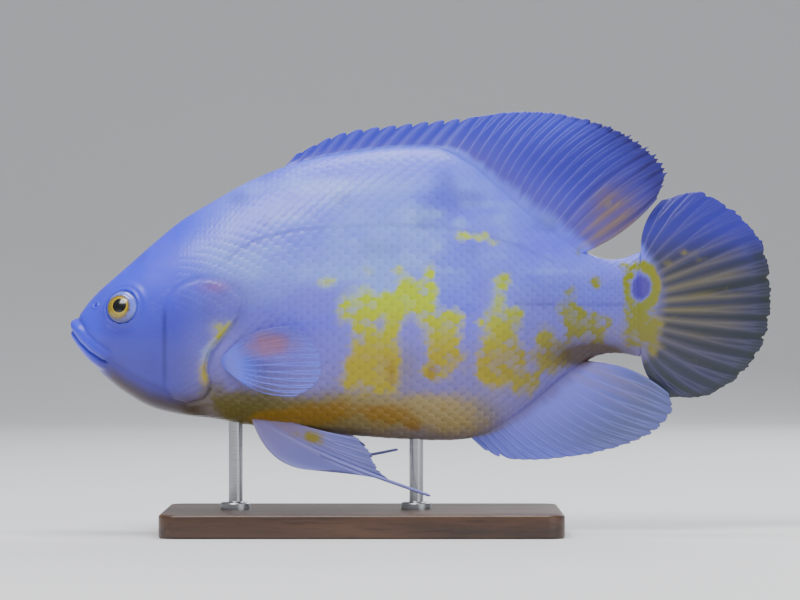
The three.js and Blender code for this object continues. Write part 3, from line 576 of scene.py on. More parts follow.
def makeScales(side, name):
    # Each scale is a small grid laid on the skin: rounded at the rear, rising rearwards, its rim turned in
    rng = np.random.default_rng(11 if side > 0 else 12)
    spots = placeScales(side)
    u0, a0 = spots.T
    p = plainBody(u0, a0)
    _, perU, perA = bodyFrame(u0, a0)
    x = p[:, 0]
    length = alongScales("length", x) * scaleSizes["overlap"]
    width = alongScales("height", x) * scaleSizes["spread"]
    length *= rng.uniform(1 - scaleSizes["lengthVaries"], 1 + scaleSizes["lengthVaries"], len(x))
    along = np.linspace(0, 1, scaleSizes["along"])
    across = np.linspace(-1, 1, scaleSizes["across"])
    xi, eta = np.meshgrid(along, across, indexing="ij")
    past = np.maximum(xi - scaleSizes["roundFrom"], 0) / scaleSizes["roundLength"]
    half = np.sqrt(np.clip(1 - past ** 2, 0.02, 1))
    half *= scaleSizes["rootWidth"] + (1 - scaleSizes["rootWidth"]) * ramp(xi, 0, scaleSizes["widestFrom"])
    each = lambda values: values[:, None, None]
    back = (xi - scaleSizes["seatedAt"]) * each(length / perU)
    u = np.clip(each(u0) + back, 0.3, lastStation - 0.01)
    a = each(a0) + eta * half * 0.5 * each(width / perA)
    grown = ramp(x, *scaleSizes["grownFrom"])
    lifted = np.clip(width / scaleSizes["fullWidth"], scaleSizes["least"], 1)
    lifted *= 1 - scaleSizes["napeFlat"] * ramp(p[:, 2], *scaleSizes["napeAt"])
    lifted *= scaleSizes["cheekRise"] + (1 - scaleSizes["cheekRise"]) * grown
    rise = scaleSizes["rise"] * (xi - scaleSizes["hinge"]) - scaleSizes["dome"] * eta ** 2
    rise = np.where((np.abs(eta) > 0.99) | (xi > 0.99), scaleSizes["rim"], rise) * each(lifted)
    points = skinSurface(u, a, rise + each(rng.normal(0, scaleSizes["tiltVaries"], len(x))) * xi)
    centre = skinSurface(np.clip(u0 + 0.25 * length / perU, 0, lastStation), a0)
    whole = markings(*centre.T)
    here = markings(*points.reshape(-1, 3).T)
    size = xi.size
    even = np.repeat(scaleSizes["oneColour"] * (1 - ramp(x, *scaleSizes["oneColourUpTo"])), size)
    fields = {mark: even * np.repeat(whole[mark], size) + (1 - even) * here[mark] for mark in here}
    unlike = np.repeat(rng.normal(0, scaleSizes["yellowVaries"], len(x)), size)
    fields["yellow"] = np.clip(fields["yellow"] * (1 + unlike), 0, 1)
    fields["grown"] = np.repeat(grown, size)
    fields["lot"] = np.repeat(rng.uniform(0, 1, len(x)), size)
    fields["rim"] = np.tile((xi ** 2).ravel(), len(x))
    root = unwrap(u0, np.mod(a0, 2 * math.pi))
    uv = root[:, None, None, :] + np.stack([xi - 0.5, eta * 0.5], -1) * scaleSizes["patch"]
    own = np.broadcast_to(np.stack([xi, eta * 0.5 + 0.5], -1), points.shape[:3] + (2,))
    cell = gridFaces(scaleSizes["along"], scaleSizes["across"])[:, ::-side]
    faces = (cell + each(np.arange(len(x)) * size)).reshape(-1, 4)
    print("scales", name, len(x), "triangles", 2 * len(faces))
    return makePiece(name, points, faces, fields, {"OFBake": uv, "scaleMap": own})


# Materials
def tone(r, g, b):
    # A colour given as it looks on a screen, 0 to 255, made linear
    c = np.array([r, g, b]) / 255
    return (*np.where(c <= 0.04045, c / 12.92, ((c + 0.055) / 1.055) ** 2.4).tolist(), 1.0)


def fishTone(r, g, b, strength=1.55):
    # The same, moved away from grey of its own lightness, as the render's film softens strong colours
    c = np.array(tone(r, g, b)[:3])
    grey = c @ np.array([0.2126, 0.7152, 0.0722])
    return (*np.clip(grey + (c - grey) * strength, 0.004, 0.96).tolist(), 1.0)


def addNode(tree, kind, inputs=None, **settings):
    made = tree.nodes.new(kind)
    for name, value in settings.items():
        setattr(made, name, value)
    for socket, value in (inputs or {}).items():
        if isinstance(value, bpy.types.NodeSocket):
            tree.links.new(value, made.inputs[socket])
        else:
            made.inputs[socket].default_value = value
    return made


def field(tree, name):
    return addNode(tree, "ShaderNodeAttribute", attribute_name=name).outputs["Fac"]


def mathNode(tree, operation, first, second=0.5, third=0.5):
    return addNode(tree, "ShaderNodeMath", {0: first, 1: second, 2: third}, operation=operation).outputs[0]


def times(tree, first, second):
    return mathNode(tree, "MULTIPLY", first, second)


def less(tree, first, second):
    return mathNode(tree, "SUBTRACT", first, second)


def spread(tree, value, low, high, first=0.0, last=1.0):
    # How far a value has come from low to high, given out between first and last
    inputs = {"Value": value, 1: low, 2: high, 3: first, 4: last}
    return addNode(tree, "ShaderNodeMapRange", inputs).outputs[0]


def mixColours(tree, share, first, second, blend="MIX"):
    made = addNode(tree, "ShaderNodeMix", {0: share, 6: first, 7: second}, data_type="RGBA", blend_type=blend)
    return made.outputs[2]


def paint(tree, colour, *layers):
    # Colours laid over a ground one after another, each by its own share
    for share, top, *blend in layers:
        colour = mixColours(tree, share, colour, top, *blend)
    return colour


def newGroup(name, inputs, outputs):
    group = bpy.data.node_groups.new(name, "ShaderNodeTree")
    for title, kind, value in inputs:
        socket = group.interface.new_socket(title, in_out="INPUT", socket_type=kind)
        socket.default_value = value
    for title, kind in outputs:
        group.interface.new_socket(title, in_out="OUTPUT", socket_type=kind)
    return group, addNode(group, "NodeGroupInput"), addNode(group, "NodeGroupOutput")


def useGroup(tree, group, inputs=None):
    return addNode(tree, "ShaderNodeGroup", inputs, node_tree=group)


def makeMottleGroup():
    # Soft cloudy variation between 0 and 1, of a given grain size in metres
    inputs = [("Grains per metre", "NodeSocketFloat", 100.0), ("Detail", "NodeSocketFloat", 3.0)]
    group, entry, leave = newGroup("mottle", inputs, [("Value", "NodeSocketFloat")])
    place = addNode(group, "ShaderNodeTexCoord").outputs["Object"]
    cloud = addNode(group, "ShaderNodeTexNoise", {"Vector": place, "Scale": entry.outputs[0],
                                                  "Detail": entry.outputs[1], "Roughness": 0.55})
    group.links.new(cloud.outputs["Fac"], leave.inputs[0])
    return group


mottle = makeMottleGroup()


def mottled(tree, grains, detail):
    return useGroup(tree, mottle, {"Grains per metre": grains, "Detail": detail}).outputs[0]


# dusk and shade are dark colours of the fish and also the colours of painted shade: on the throat, in the
# notch under the tail's root, under the eye, and in the mouth slit, folds and gill grooves. bellyFront is the
# belly's olive made darker, partly as painted shade under the head
coat = dict(
    back=(118, 126, 250), flank=(119, 124, 244), low=(122, 114, 172), face=(72, 76, 210), cheek=(68, 64, 132),
    pale=(150, 168, 234), mottle=(92, 96, 206), yellow=(156, 146, 0), lemon=(176, 190, 4), ochre=(98, 96, 16),
    bellyFront=(94, 88, 60), belly=(148, 136, 108), under=(118, 112, 100), orange=(126, 102, 0),
    dusk=(57, 46, 26), shade=(50, 48, 104), vivid=(100, 98, 250), violet=(68, 52, 132), red=(150, 96, 96))
coatLayers = dict(vivid=0.8, pale=0.9, mottle=0.34, red=0.7, under=0.9, belly=0.96, yellow=1.0, orange=0.75,
                  violet=0.9, dusk=0.95, shade=0.8)  # in this order, and how far each covers
coatEdges = dict(cheekToFace=(0.05, 0.6), flankPower=0.7, backPower=3.0, bellyTurns=(0.2, 0.62),
                 lemonAbove=(0.08, 0.42), ochreFrom=(0.72, 0.95), ochre=0.8)


def makeCoatGroup():
    # The fish's colours from its marking fields: ground colours first, then each mark over them
    group, entry, leave = newGroup("coatColours", [("Mottle", "NodeSocketFloat", 0.5)],
                                   [("Color", "NodeSocketColor")])
    upper, along = field(group, "upper"), field(group, "along")
    tones = {name: fishTone(*colour) for name, colour in coat.items()}
    rise = lambda value, edge: spread(group, value, *coatEdges[edge])
    cheeks = mixColours(group, rise(upper, "cheekToFace"), tones["cheek"], tones["face"])
    colour = paint(group, tones["low"],
                   (mathNode(group, "POWER", upper, coatEdges["flankPower"]), tones["flank"]),
                   (mathNode(group, "POWER", upper, coatEdges["backPower"]), tones["back"]),
                   (field(group, "face"), cheeks))
    # the belly's front is its olive made darker, partly as painted shade under the head, turning to its own
    # tan further back
    tones["belly"] = mixColours(group, rise(along, "bellyTurns"), tones["bellyFront"], tones["belly"])
    tones["yellow"] = paint(group, tones["yellow"], (rise(upper, "lemonAbove"), tones["lemon"]),
                            (times(group, rise(along, "ochreFrom"), coatEdges["ochre"]), tones["ochre"]))
    for mark, most in coatLayers.items():
        strength = entry.outputs[0] if mark == "mottle" else field(group, mark)
        colour = mixColours(group, times(group, strength, most), colour, tones[mark])
    group.links.new(colour, leave.inputs[0])
    return group


coatColours = makeCoatGroup()


def newMaterial(name):
    material = bpy.data.materials.new(name)
    material.use_nodes = True
    tree = material.node_tree
    return material, tree, tree.nodes["Principled BSDF"]


def setShader(tree, shader, **values):
    # A value goes into its socket, and a node's output is linked to it
    for name, value in values.items():
        socket = shader.inputs[name.replace("_", " ")]
        if isinstance(value, bpy.types.NodeSocket):
            tree.links.new(value, socket)
        else:
            socket.default_value = value


def bumpNode(tree, height, strength, distance):
    inputs = {"Height": height, "Strength": strength, "Distance": distance}
    return addNode(tree, "ShaderNodeBump", inputs).outputs[0]


def coated(tree):
    # The fine grain, the cloudy one and the fish's colours over it
    fine, soft = mottled(tree, 2600.0, 2.0), mottled(tree, 90.0, 4.0)
    return fine, soft, useGroup(tree, coatColours, {"Mottle": soft}).outputs[0]


def waves(tree, place, scale, bent, detail=2.0, **settings):
    inputs = {"Vector": place, "Scale": scale, "Distortion": bent, "Detail": detail}
    return addNode(tree, "ShaderNodeTexWave", inputs, **settings).outputs["Fac"]


def skinMaterial():
    material, tree, shader = newMaterial("fish skin")
    fine, soft, colour = coated(tree)
    grain = mathNode(tree, "MULTIPLY_ADD", fine, 0.5, soft)
    setShader(tree, shader, Base_Color=colour, Roughness=mathNode(tree, "MULTIPLY_ADD", fine, 0.2, 0.26),
              Normal=bumpNode(tree, grain, 0.25, 0.0004), Coat_Weight=0.25, Coat_Roughness=0.18, IOR=1.36,
              Subsurface_Weight=0.03, Subsurface_Scale=0.003, Subsurface_Radius=(1.0, 0.6, 0.8))
    return material


# root is painted shade where each scale goes under the one before it
scaleTones = dict(lot=(204, 204, 216), rim=(214, 214, 226), root=(96, 96, 140))


def scaleMaterial():
    # Each scale a little unlike the next, lighter at its rim, with painted shade at its root where the scale
    # before overlaps it, and fine rings on it
    material, tree, shader = newMaterial("fish scales")
    fine, _, colour = coated(tree)
    rim, grown = field(tree, "rim"), field(tree, "grown")
    lot, light, dark = [tone(*scaleTones[part]) for part in ("lot", "rim", "root")]
    unlike = times(tree, times(tree, field(tree, "lot"), grown), 0.4)
    # the last layer is painted shade at each scale's root
    colour = paint(tree, colour, (unlike, lot, "SOFT_LIGHT"),
                   (times(tree, spread(tree, rim, 0.5, 1.0, 0.0, 0.5), grown), light, "SOFT_LIGHT"),
                   (times(tree, spread(tree, rim, 0.22, 0.0, 0.0, 0.25), grown), dark, "MULTIPLY"))
    place = addNode(tree, "ShaderNodeUVMap", uv_map="scaleMap").outputs[0]
    rings = waves(tree, place, 5.0, bent=1.6, detail=1.0, wave_type="RINGS", rings_direction="SPHERICAL")
    comb = waves(tree, place, 3.2, bent=0.6, bands_direction="Y")
    height = mathNode(tree, "MULTIPLY_ADD", rings, 0.5, times(tree, comb, 0.35))
    setShader(tree, shader, Base_Color=colour, Roughness=mathNode(tree, "MULTIPLY_ADD", fine, 0.2, 0.24),
              Normal=bumpNode(tree, height, 0.35, 0.00008), Coat_Weight=0.25, Coat_Roughness=0.16, IOR=1.36)
    return material


# Fins
def softRise(u, low, high, least):
    return least + (1 - least) * ramp(u, low, high)


# A key is a ray's number, x and z of its base, x and z of its tip, and its bow
anyFin = dict(mirror=False, spines=0, ray=0.62, membrane=0.2, tip=0.2, sink=5, steps=56,
              flesh=lambda u: 1 + 0 * u)
anyPelvic = dict(spines=1, rays=6, root=1.4, ray=0.6, sink=4, perRay=22, steps=60)
fins = dict(
    dorsal=dict(node="dorsal_fin", spines=12, rays=32, root=2.3, perRay=12,
                flesh=lambda u: softRise(u, 9, 14, 0.35),
                sideways=lambda u, s: -3 * ramp(u, 16, 28) * s ** 2, keys=[
        [0, -57.9, 157.2, -53.4, 162.2, 0.0], [3, -40.7, 161.5, -33.8, 171.2, 0.02],
        [7, -15.0, 164.7, -5.2, 175.2, 0.03], [11, 10.7, 164.3, 21.9, 178.0, 0.04],
        [14, 22.7, 158.0, 39.9, 180.3, 0.05], [18, 34.7, 147.6, 60.4, 179.2, 0.07],
        [22, 45.4, 138.4, 81.0, 173.9, 0.08], [26, 56.6, 130.2, 98.1, 165.6, 0.07],
        [29, 65.1, 124.2, 106.3, 154.6, 0.03], [31, 71.6, 120.3, 101.6, 143.6, -0.06]]),
    caudal=dict(node="tail_fin", rays=17, root=4.0, ray=0.6, membrane=0.18, sink=2.5, perRay=18, steps=70,
                flesh=lambda u: np.sqrt(np.clip(1 - ((u - 8) / 8.3) ** 2, 0, 1)),
                sideways=lambda u, s: 2.5 * s ** 2, keys=[
        [0, 94.3, 120.0, 103.3, 142.4, 0.12], [2, 94.3, 114.6, 119.6, 145.9, 0.06],
        [4, 94.3, 109.6, 135.4, 136.9, 0.03], [6, 94.3, 104.0, 146.6, 124.0, 0.01],
        [8, 94.3, 98.2, 150.0, 104.4, 0.0], [10, 94.3, 92.4, 148.9, 88.0, -0.01],
        [12, 94.3, 86.8, 141.0, 71.9, -0.03], [14, 94.3, 81.2, 124.7, 59.2, -0.06],
        [16, 94.3, 75.3, 106.6, 57.6, -0.12]]),
    anal=dict(node="anal_fin", spines=3, rays=19, root=2.2, perRay=14,
              flesh=lambda u: softRise(u, 2, 6, 0.35),
              sideways=lambda u, s: -6 * ramp(u, 6, 17) * s ** 2, keys=[
        [0, 21.0, 41.0, 27.2, 35.4, 0.0], [1, 23.8, 41.4, 32.6, 32.7, 0.0],
        [2, 27.0, 42.2, 38.6, 31.4, -0.02], [5, 34.7, 46.0, 54.4, 31.4, -0.05],
        [9, 45.9, 53.8, 77.6, 34.9, -0.08], [13, 56.6, 62.6, 97.3, 42.1, -0.07],
        [16, 65.2, 69.2, 107.1, 52.2, 0.0], [18, 71.8, 73.6, 105.9, 59.6, 0.09]]),
    pelvicNear=dict(anyPelvic, node="pelvic_fin_left", mirror=True, sideways=lambda u, s: 7.4 + 6.5 * s,
                    filament=dict(tip=(4.3, 16.2), radius=1.15, tipRadius=0.65), keys=[
        [0, -72.4, 49.0, -37.0, 28.0, -0.22], [1, -70.2, 49.0, -14.6, 23.0, -0.03],
        [2, -67.5, 49.0, -16.4, 25.4, -0.03], [3, -64.5, 49.0, -19.6, 29.6, -0.03],
        [4, -61.5, 49.0, -22.0, 35.2, -0.03], [5, -58.6, 49.0, -27.9, 41.4, -0.03]]),
    pelvicFar=dict(anyPelvic, node="pelvic_fin_right", sideways=lambda u, s: 7.4 + 9 * s,
                   filament=dict(tip=(-9.6, 35.0), radius=1.0, tipRadius=0.6), keys=[
        [0, -72.4, 49.0, -40.0, 32.4, -0.16], [1, -70.2, 49.0, -22.0, 31.6, -0.03],
        [2, -67.5, 49.0, -22.5, 34.0, -0.03], [3, -64.5, 49.0, -24.5, 37.4, -0.03],
        [4, -61.5, 49.0, -27.5, 40.0, -0.03], [5, -58.6, 49.0, -31.9, 42.6, -0.03]]))
pectoral = dict(rays=13, root=1.4, ray=0.45, membrane=0.16, tip=0.18, perRay=14, steps=50,
                sideways=lambda u, s: 22.6 + 18 * s, keys=[
        [0, -81.2, 78.6, -55.2, 88.6, 0.1], [3, -80.6, 75.8, -46.6, 83.2, 0.06],
        [6, -79.8, 73.0, -42.4, 76.2, 0.02], [8, -79.3, 70.6, -42.0, 69.4, -0.02],
        [10, -78.9, 68.4, -45.2, 63.6, -0.06], [12, -78.4, 66.4, -52.4, 59.4, -0.1]])
fins["pectoralNear"] = dict(pectoral, node="pectoral_fin_left", mirror=True)
fins["pectoralFar"] = dict(pectoral, node="pectoral_fin_right")
fins = {title: {**anyFin, **fin} for title, fin in fins.items()}
branching = dict(first=0.17, firstAt=(0.4, 0.75), second=0.085, secondAt=(0.72, 0.98), spineWidth=0.13,
                 rayWidth=0.085, narrowing=0.25)
finEdge = dict(fray=0.012, frayGrain=9, scallop=0.02, scallopPower=0.7, spineNotch=0.2, rim=0.35, sides=0.25)
dorsalLobe = dict(notch=0.035, notchFrom=(21, 25), longer=0.02, longerFrom=(23, 27))
finBody = dict(rowPower=0.92, thinning=0.45, ridge=0.75, fleshPower=3, spineColour=(0.9, 0.24))


def finKind(title):
    return title.replace("Near", "").replace("Far", "")


def finMiddle(fin, u, s):
    # Straight from base to tip, plus a parabola across the ray for its bow, plus the sideways bend
    knots, *columns = zip(*fin["keys"])
    baseX, baseZ, tipX, tipZ, bow = [smoothLine(knots, column)(u) for column in columns]
    dx, dz = tipX - baseX, tipZ - baseZ
    lift = bow * 4 * s * (1 - s)
    return np.stack([baseX + dx * s - dz * lift, fin["sideways"](u, np.maximum(s, 0)) + 0 * s,
                     baseZ + dz * s + dx * lift], -1)


def branchRidges(fin, u, s):
    # One ridge on each ray; past 45% of a soft ray it forks in two, and past 75% each fork again
    offset = u - np.round(u)
    spiny = np.round(u) < fin["spines"]
    first = branching["first"] * ramp(s, *branching["firstAt"]) * ~spiny
    second = branching["second"] * ramp(s, *branching["secondAt"]) * ~spiny
    width = np.where(spiny, branching["spineWidth"], branching["rayWidth"]) * (1 - branching["narrowing"] * s)
    ways = [one * first + two * second for one in (-1, 1) for two in (-1, 1)]
    return np.maximum.reduce([bump(offset - way, width) for way in ways])


def makeFin(title, fin):
    # Two faces a thickness apart, wrapped from root to tip and back; the thickness runs out at both ends
    last = fin["rays"] - 1
    columns = fin["perRay"] * last + 1
    u1 = np.linspace(0, last, columns)
    s1 = np.concatenate([[0.0], np.linspace(0, 1, fin["steps"]) ** finBody["rowPower"]])
    s, u = np.meshgrid(s1, u1, indexing="ij")
    between = 1 - np.abs(np.cos(math.pi * u)) ** finEdge["scallopPower"]
    frayed = finEdge["fray"] * patchwork(u * finEdge["frayGrain"], u * 0 + fin["rays"], 1.0, 21)
    frayed += finEdge["scallop"] * between
    if title == "dorsal":
        notches = np.abs(np.sin(2 * math.pi * u))
        frayed += dorsalLobe["notch"] * ramp(u, *dorsalLobe["notchFrom"]) * notches
        frayed += dorsalLobe["longer"] * ramp(u, *dorsalLobe["longerFrom"])
    reach = 1 - np.where(np.ceil(u) < fin["spines"], finEdge["spineNotch"] * between, frayed)
    middle = finMiddle(fin, u, s * reach)
    inwards = finMiddle(fin, u1, 0 * u1) - finMiddle(fin, u1, 0 * u1 + 0.1)
    middle[0] += unit(inwards) * fin["sink"]
    ridge = branchRidges(fin, u, s)
    flesh = fin["root"] * fin["flesh"](u) * (1 - s) ** finBody["fleshPower"]
    thin = fin["membrane"] * (1 - finBody["thinning"] * s)
    thin += ridge * (fin["tip"] + (fin["ray"] - fin["tip"]) * (1 - s)) * finBody["ridge"]
    thick = np.hypot(flesh, thin) * np.sqrt(np.clip(np.minimum(u, last - u) / finEdge["sides"], 0, 1))
    thick[-1] *= finEdge["rim"]
    away = np.stack([0 * thick, thick, 0 * thick], -1)
    points = np.concatenate([middle + away, (middle - away)[::-1]])
    if fin["mirror"]:
        points[..., 1] *= -1
    both = lambda values: np.concatenate([values, values[::-1]])
    pale, width = finBody["spineColour"]
    spines = np.where(np.round(u) < fin["spines"], pale * bump(u - np.round(u), width), 0)
    fields = dict(ray=both(np.maximum(ridge, spines)), root=both(np.clip(flesh / fin["root"], 0, 1)))
    x, y, z = np.moveaxis(points, -1, 0)
    fields.update(markings(x, y, z), **finMarks(title, x, z, both(s), both(u)))
    faces = gridFaces(points.shape[0], columns, wrapRows=True)
    print("fin", title, "triangles", 2 * len(faces))
    share = np.stack([both(u) / last, both(s)], -1)
    return makePiece("fin_" + title, points, faces, fields, {"finMap": share}, 2e-6)


filamentShape = dict(steps=60, columns=12, onRay=(0.5, 0.75, 0.93), pastTip=1.15, slimmer=0.95, dusk=0.1)


def makeFilament(title, fin):
    # A tapered thread carried along a curve that leaves the fin's second ray
    thread = fin["filament"]
    steps, columns = filamentShape["steps"], filamentShape["columns"]
    onRay = finMiddle(fin, np.ones(3), np.array(filamentShape["onRay"]))
    tipY = fin["sideways"](1.0, filamentShape["pastTip"])
    knots = np.concatenate([onRay, [[thread["tip"][0], tipY, thread["tip"][1]]]])
    t = np.linspace(0, 3, steps)
    path = np.stack([smoothLine(range(4), knots[:, k])(t) for k in range(3)], -1)
    along = unit(np.gradient(path, axis=0))
    side = unit(np.cross(along, [0, 1, 0]))
    other = np.cross(along, side)
    angles = np.linspace(0, 2 * math.pi, columns, endpoint=False)[None, :, None]
    r = (thread["radius"] + (thread["tipRadius"] - thread["radius"]) * t / 3) * filamentShape["slimmer"]
    r[0] = r[-1] = 0.001
    r = r[:, None, None]
    points = path[:, None] + r * (np.cos(angles) * side[:, None] + np.sin(angles) * other[:, None])
    if fin["mirror"]:
        points[..., 1] *= -1
    blank = np.zeros(points.shape[:2])
    fields = dict.fromkeys(("root", "finYellow", "finWarm", "finViolet", "body", "clear"), blank)
    fields.update(ray=blank + 1, finDusk=blank + filamentShape["dusk"])
    faces = gridFaces(steps, columns, wrapColumns=True)
    return makePiece("filament_" + title, points, faces, fields, closeSeams=3e-6)


finBlotches = dict(
    dorsal=[[69, 122.4, 4, 2.6, 1.0], [80, 119.6, 7, 2.2, 1.0], [80, 141, 2.6, 3.2, 0.6]],
    caudal=[[99, 90, 6.0, 5.4, 0.8], [100, 80, 3.4, 5.6, 0.7], [105.4, 115.4, 2.8, 1.6, 0.6],
            [114, 120.1, 3.4, 1.6, 0.55], [119, 116.7, 3.0, 1.5, 0.45]],
    pelvic=[[-46.0, 40.8, 4.2, 3.2, 1.0], [-54, 43, 5, 2.2, 0.4]], pectoral=[[-63.5, 81.0, 11.5, 6.2, 1.1]])
dorsalWarmth = [[83.5, 129.5, 1, 1.3, 13, 1], [80, 142, 1, 1, 5, 0.5]]


def finMarks(title, x, z, s, u):
    # Strength of each colour mark on a fin, from 0 to 1; streaks are drawn out along the rays
    yellow, warm, dusk, violet = [np.zeros(x.shape) for _ in range(4)]
    clear = ramp(s, 0.1, 0.7)
    ragged = patchwork(x, z, 3.2, 31) * 0.6 + patchwork(x, z, 1.3, 32) * 0.4
    streak = 0.65 * patchwork(u * 1.9, s * 1.7, 1.0, 41) + 0.35 * patchwork(u * 4.1, s * 2.9, 1.0, 42)
    band = bump(u - np.round(u), 0.3)
    likeBody = 0.9 * (1 - ramp(s + 0.03 * streak, 0.0, 0.13))
    kind = finKind(title)
    patches = blotches(finBlotches.get(kind, []), x, z, 1.5 if kind == "dorsal" else 1.0)
    if kind == "dorsal":  # yellow and warm feet of the last rays, dusk edge, violet lobe
        foot = ramp(u, 24.6, 28)
        yellow = 0.85 * ramp(patches + 0.35 * streak, 0.35, 1.0)
        near = np.clip(1.4 * ovals(dorsalWarmth, x, z) * (1 + 0.5 * streak), 0, 1)
        warm = (0.45 + 0.55 * band) * foot * ramp(s, 0.02, 0.12) * near
        dusk = 0.95 * ramp(u, 14, 24) * ramp(s, 0.93, 1.0) + 0.3 * ramp(s, 0.2, 0.8) * ramp(u, 18, 24)
        dusk += 0.5 * ramp(u, 19, 24) * ramp(s, 0.72, 0.97)
        dusk += 0.5 * foot * (1 - 0.6 * band) * ramp(-streak, -0.3, 0.4)
        violet = 0.75 * ramp(u, 15, 21) * (1 - 0.8 * bump(u - 19, 4) * ramp(s, 0.3, 0.8)) * ramp(s, 0.1, 0.5)
    if kind == "caudal":  # the spot, yellow and warm rays, dusk below, violet above
        heart, ring = tailSpot(x, z, ragged)
        middle = ramp(x, 99, 106) * bump(z - 101, 19)
        yellow = ring + 0.8 * ramp(patches + 0.3 * ragged + 0.25 * streak, 0.2, 1.0)
        yellow += 0.45 * ramp(streak, -0.1, 0.5) * band * middle * (1 - ramp(x, 116, 136)) * (z < 112)
        yellow *= 1 - heart
        warm = 0.9 * band * ramp(-streak, -0.7, 0.2) * middle * (1 - ramp(x, 130, 146)) + 0.3 * heart
        dusk = ramp(s, -0.25, 0.25) * (1 - ramp(z, 112, 132)) * (0.85 + 0.3 * streak) * (1 - heart)
        dusk = np.maximum(dusk * (1 - 0.3 * band), ramp(s, 0.75, 0.98) * (1 - ramp(z, 114, 134)))
        violet = np.maximum(heart, ramp(z, 108, 132) * (0.8 + 0.4 * ramp(s, 0.6, 1)))
        likeBody = 1 - ramp(s + 0.04 * streak, 0.06, 0.22)
    if kind == "anal":  # dusk toward the edge, a little warmth at the rear
        dusk = 0.85 * ramp(s, 0.05, 0.8) * ramp(u, 4, 12)
        warm = 0.5 * ramp(u, 13, 17) * ramp(streak, -0.4, 0.4) * (1 - ramp(s, 0.4, 0.9))
    if kind == "pelvic":  # a yellow blotch, warm near the root, dusk tips
        yellow = ramp(patches + 0.35 * ragged, 0.25, 1.0)
        likeBody = 0.5 * (1 - ramp(s, 0.0, 0.06))
        dusk = 0.25 * ramp(s, 0.7, 1.0)
        warm = 0.6 * (1 - ramp(s, 0.1, 0.5)) * ramp(u, 1.2, 2.8)
    if kind == "pectoral":  # a warm patch, clear elsewhere
        warm = 0.85 * ramp(patches + 0.15 * ragged, 0.15, 1.1)
        clear = 1.2 * ramp(s, 0.0, 0.38) * (1 - 0.9 * warm)
        likeBody = 0.35 * (1 - ramp(s, 0.0, 0.1))
    marks = dict(finYellow=yellow, finWarm=warm, finDusk=dusk, finViolet=violet, body=likeBody)
    return dict(clear=clear, **{mark: np.clip(value, 0, 1) for mark, value in marks.items()})


# Each fin: colour of the skin between the rays, of the rays, of its dusk, its warm patches and its root, and
# how solid it is where it is clear
finTones = dict(
    dorsal=dict(skin=(66, 68, 178), ray=(112, 114, 216), dusk=(32, 26, 84), warm=(118, 104, 86),
                root=(92, 84, 146), cover=0.9),
    caudal=dict(skin=(52, 54, 84), ray=(100, 97, 112), dusk=(38, 43, 40), warm=(108, 104, 86),
                root=(98, 92, 118), cover=0.92),
    anal=dict(skin=(112, 118, 200), ray=(144, 148, 218), dusk=(88, 92, 108), warm=(130, 120, 120),
              root=(118, 118, 196), cover=0.92),
    pelvic=dict(skin=(128, 132, 188), ray=(162, 164, 212), dusk=(84, 86, 108), warm=(130, 116, 116),
                root=(136, 124, 156), cover=0.92),
    pectoral=dict(skin=(116, 124, 218), ray=(132, 140, 232), dusk=(90, 94, 150), warm=(150, 108, 82),
                  root=(104, 112, 228), cover=0.2))
everyFin = dict(mottle=(64, 60, 146), violet=(57, 54, 144), yellow=(134, 126, 6))


def finMaterial(title):
    # Skin and rays, cloudy grain, fleshy root, the fin's marks, and the body's coat where the fin leaves it
    look = {**everyFin, **finTones[title]}
    cover = look.pop("cover")
    tones = {part: fishTone(*colour) for part, colour in look.items()}
    material, tree, shader = newMaterial("fin " + title)
    soft, ridge = mottled(tree, 160.0, 4.0), field(tree, "ray")
    mark = lambda name, most: times(tree, field(tree, name), most)
    besideRay = less(tree, 0.95, times(tree, ridge, 0.3))
    fleshy = mathNode(tree, "POWER", field(tree, "root"), 0.6)
    colour = paint(tree, tones["skin"], (times(tree, ridge, 0.55), tones["ray"]),
                   (times(tree, soft, 0.25), tones["mottle"]), (times(tree, fleshy, 0.75), tones["root"]),
                   (mark("finViolet", 0.85), tones["violet"]), (mark("finDusk", besideRay), tones["dusk"]),
                   (mark("finWarm", 0.85), tones["warm"]), (mark("finYellow", 0.95), tones["yellow"]),
                   (field(tree, "body"), useGroup(tree, coatColours, {"Mottle": soft}).outputs[0]))
    place = addNode(tree, "ShaderNodeUVMap", uv_map="finMap").outputs[0]
    joints = waves(tree, place, 16.0, bent=0.5, detail=1.0, bands_direction="Y")
    height = mathNode(tree, "MULTIPLY_ADD", times(tree, joints, ridge), 0.6, times(tree, soft, 0.4))
    see = mark("clear", less(tree, 1.0, times(tree, ridge, 0.75)))
    setShader(tree, shader, Base_Color=colour, Normal=bumpNode(tree, height, 0.5, 0.00025),
              Alpha=less(tree, 1.0, times(tree, see, 1 - cover)), Roughness=0.36,
              Coat_Weight=0.25, Coat_Roughness=0.2, IOR=1.4)
    return material


# Eyes
def makeEye(side, name):
    # A globe turned about the eye's axis: flattened along it, with the lens a low swelling at the middle
    polar = np.linspace(0.0005, math.pi, eye["steps"])
    turn = np.linspace(0, 2 * math.pi, eye["columns"], endpoint=False)
    polar, turn = np.meshgrid(polar, turn, indexing="ij")
    r, h = eye["radius"] * np.sin(polar), eye["depth"] * np.cos(polar)
    lens = eye["lens"] * bump(r, eye["pupil"]) - eye["irisHollow"] * bump(r - eye["iris"], 0.5)
    h += (polar < 1.5) * lens
    across, up = r * np.cos(turn), r * np.sin(turn)
    sideways = unit(np.cross(np.array([0, 0, 1.0]), eyeAxis))
    upright = np.cross(eyeAxis, sideways)
    centre = eyeSeat + eyeAxis * (eye["proud"] - eye["depth"])
    points = centre + h[..., None] * eyeAxis + across[..., None] * sideways + up[..., None] * upright
    points[..., 1] *= side
    front = polar < math.pi / 2
    ringX, ringZ = eye["ringOff"]
    fields = dict(fromPupil=np.where(front, np.hypot(across, up), 9),
                  fromRing=np.where(front, np.hypot(across - ringX, up - ringZ), 9), lower=-up)
    return makePiece(name, points, gridFaces(*polar.shape, wrapColumns=True), fields, closeSeams=1e-6)


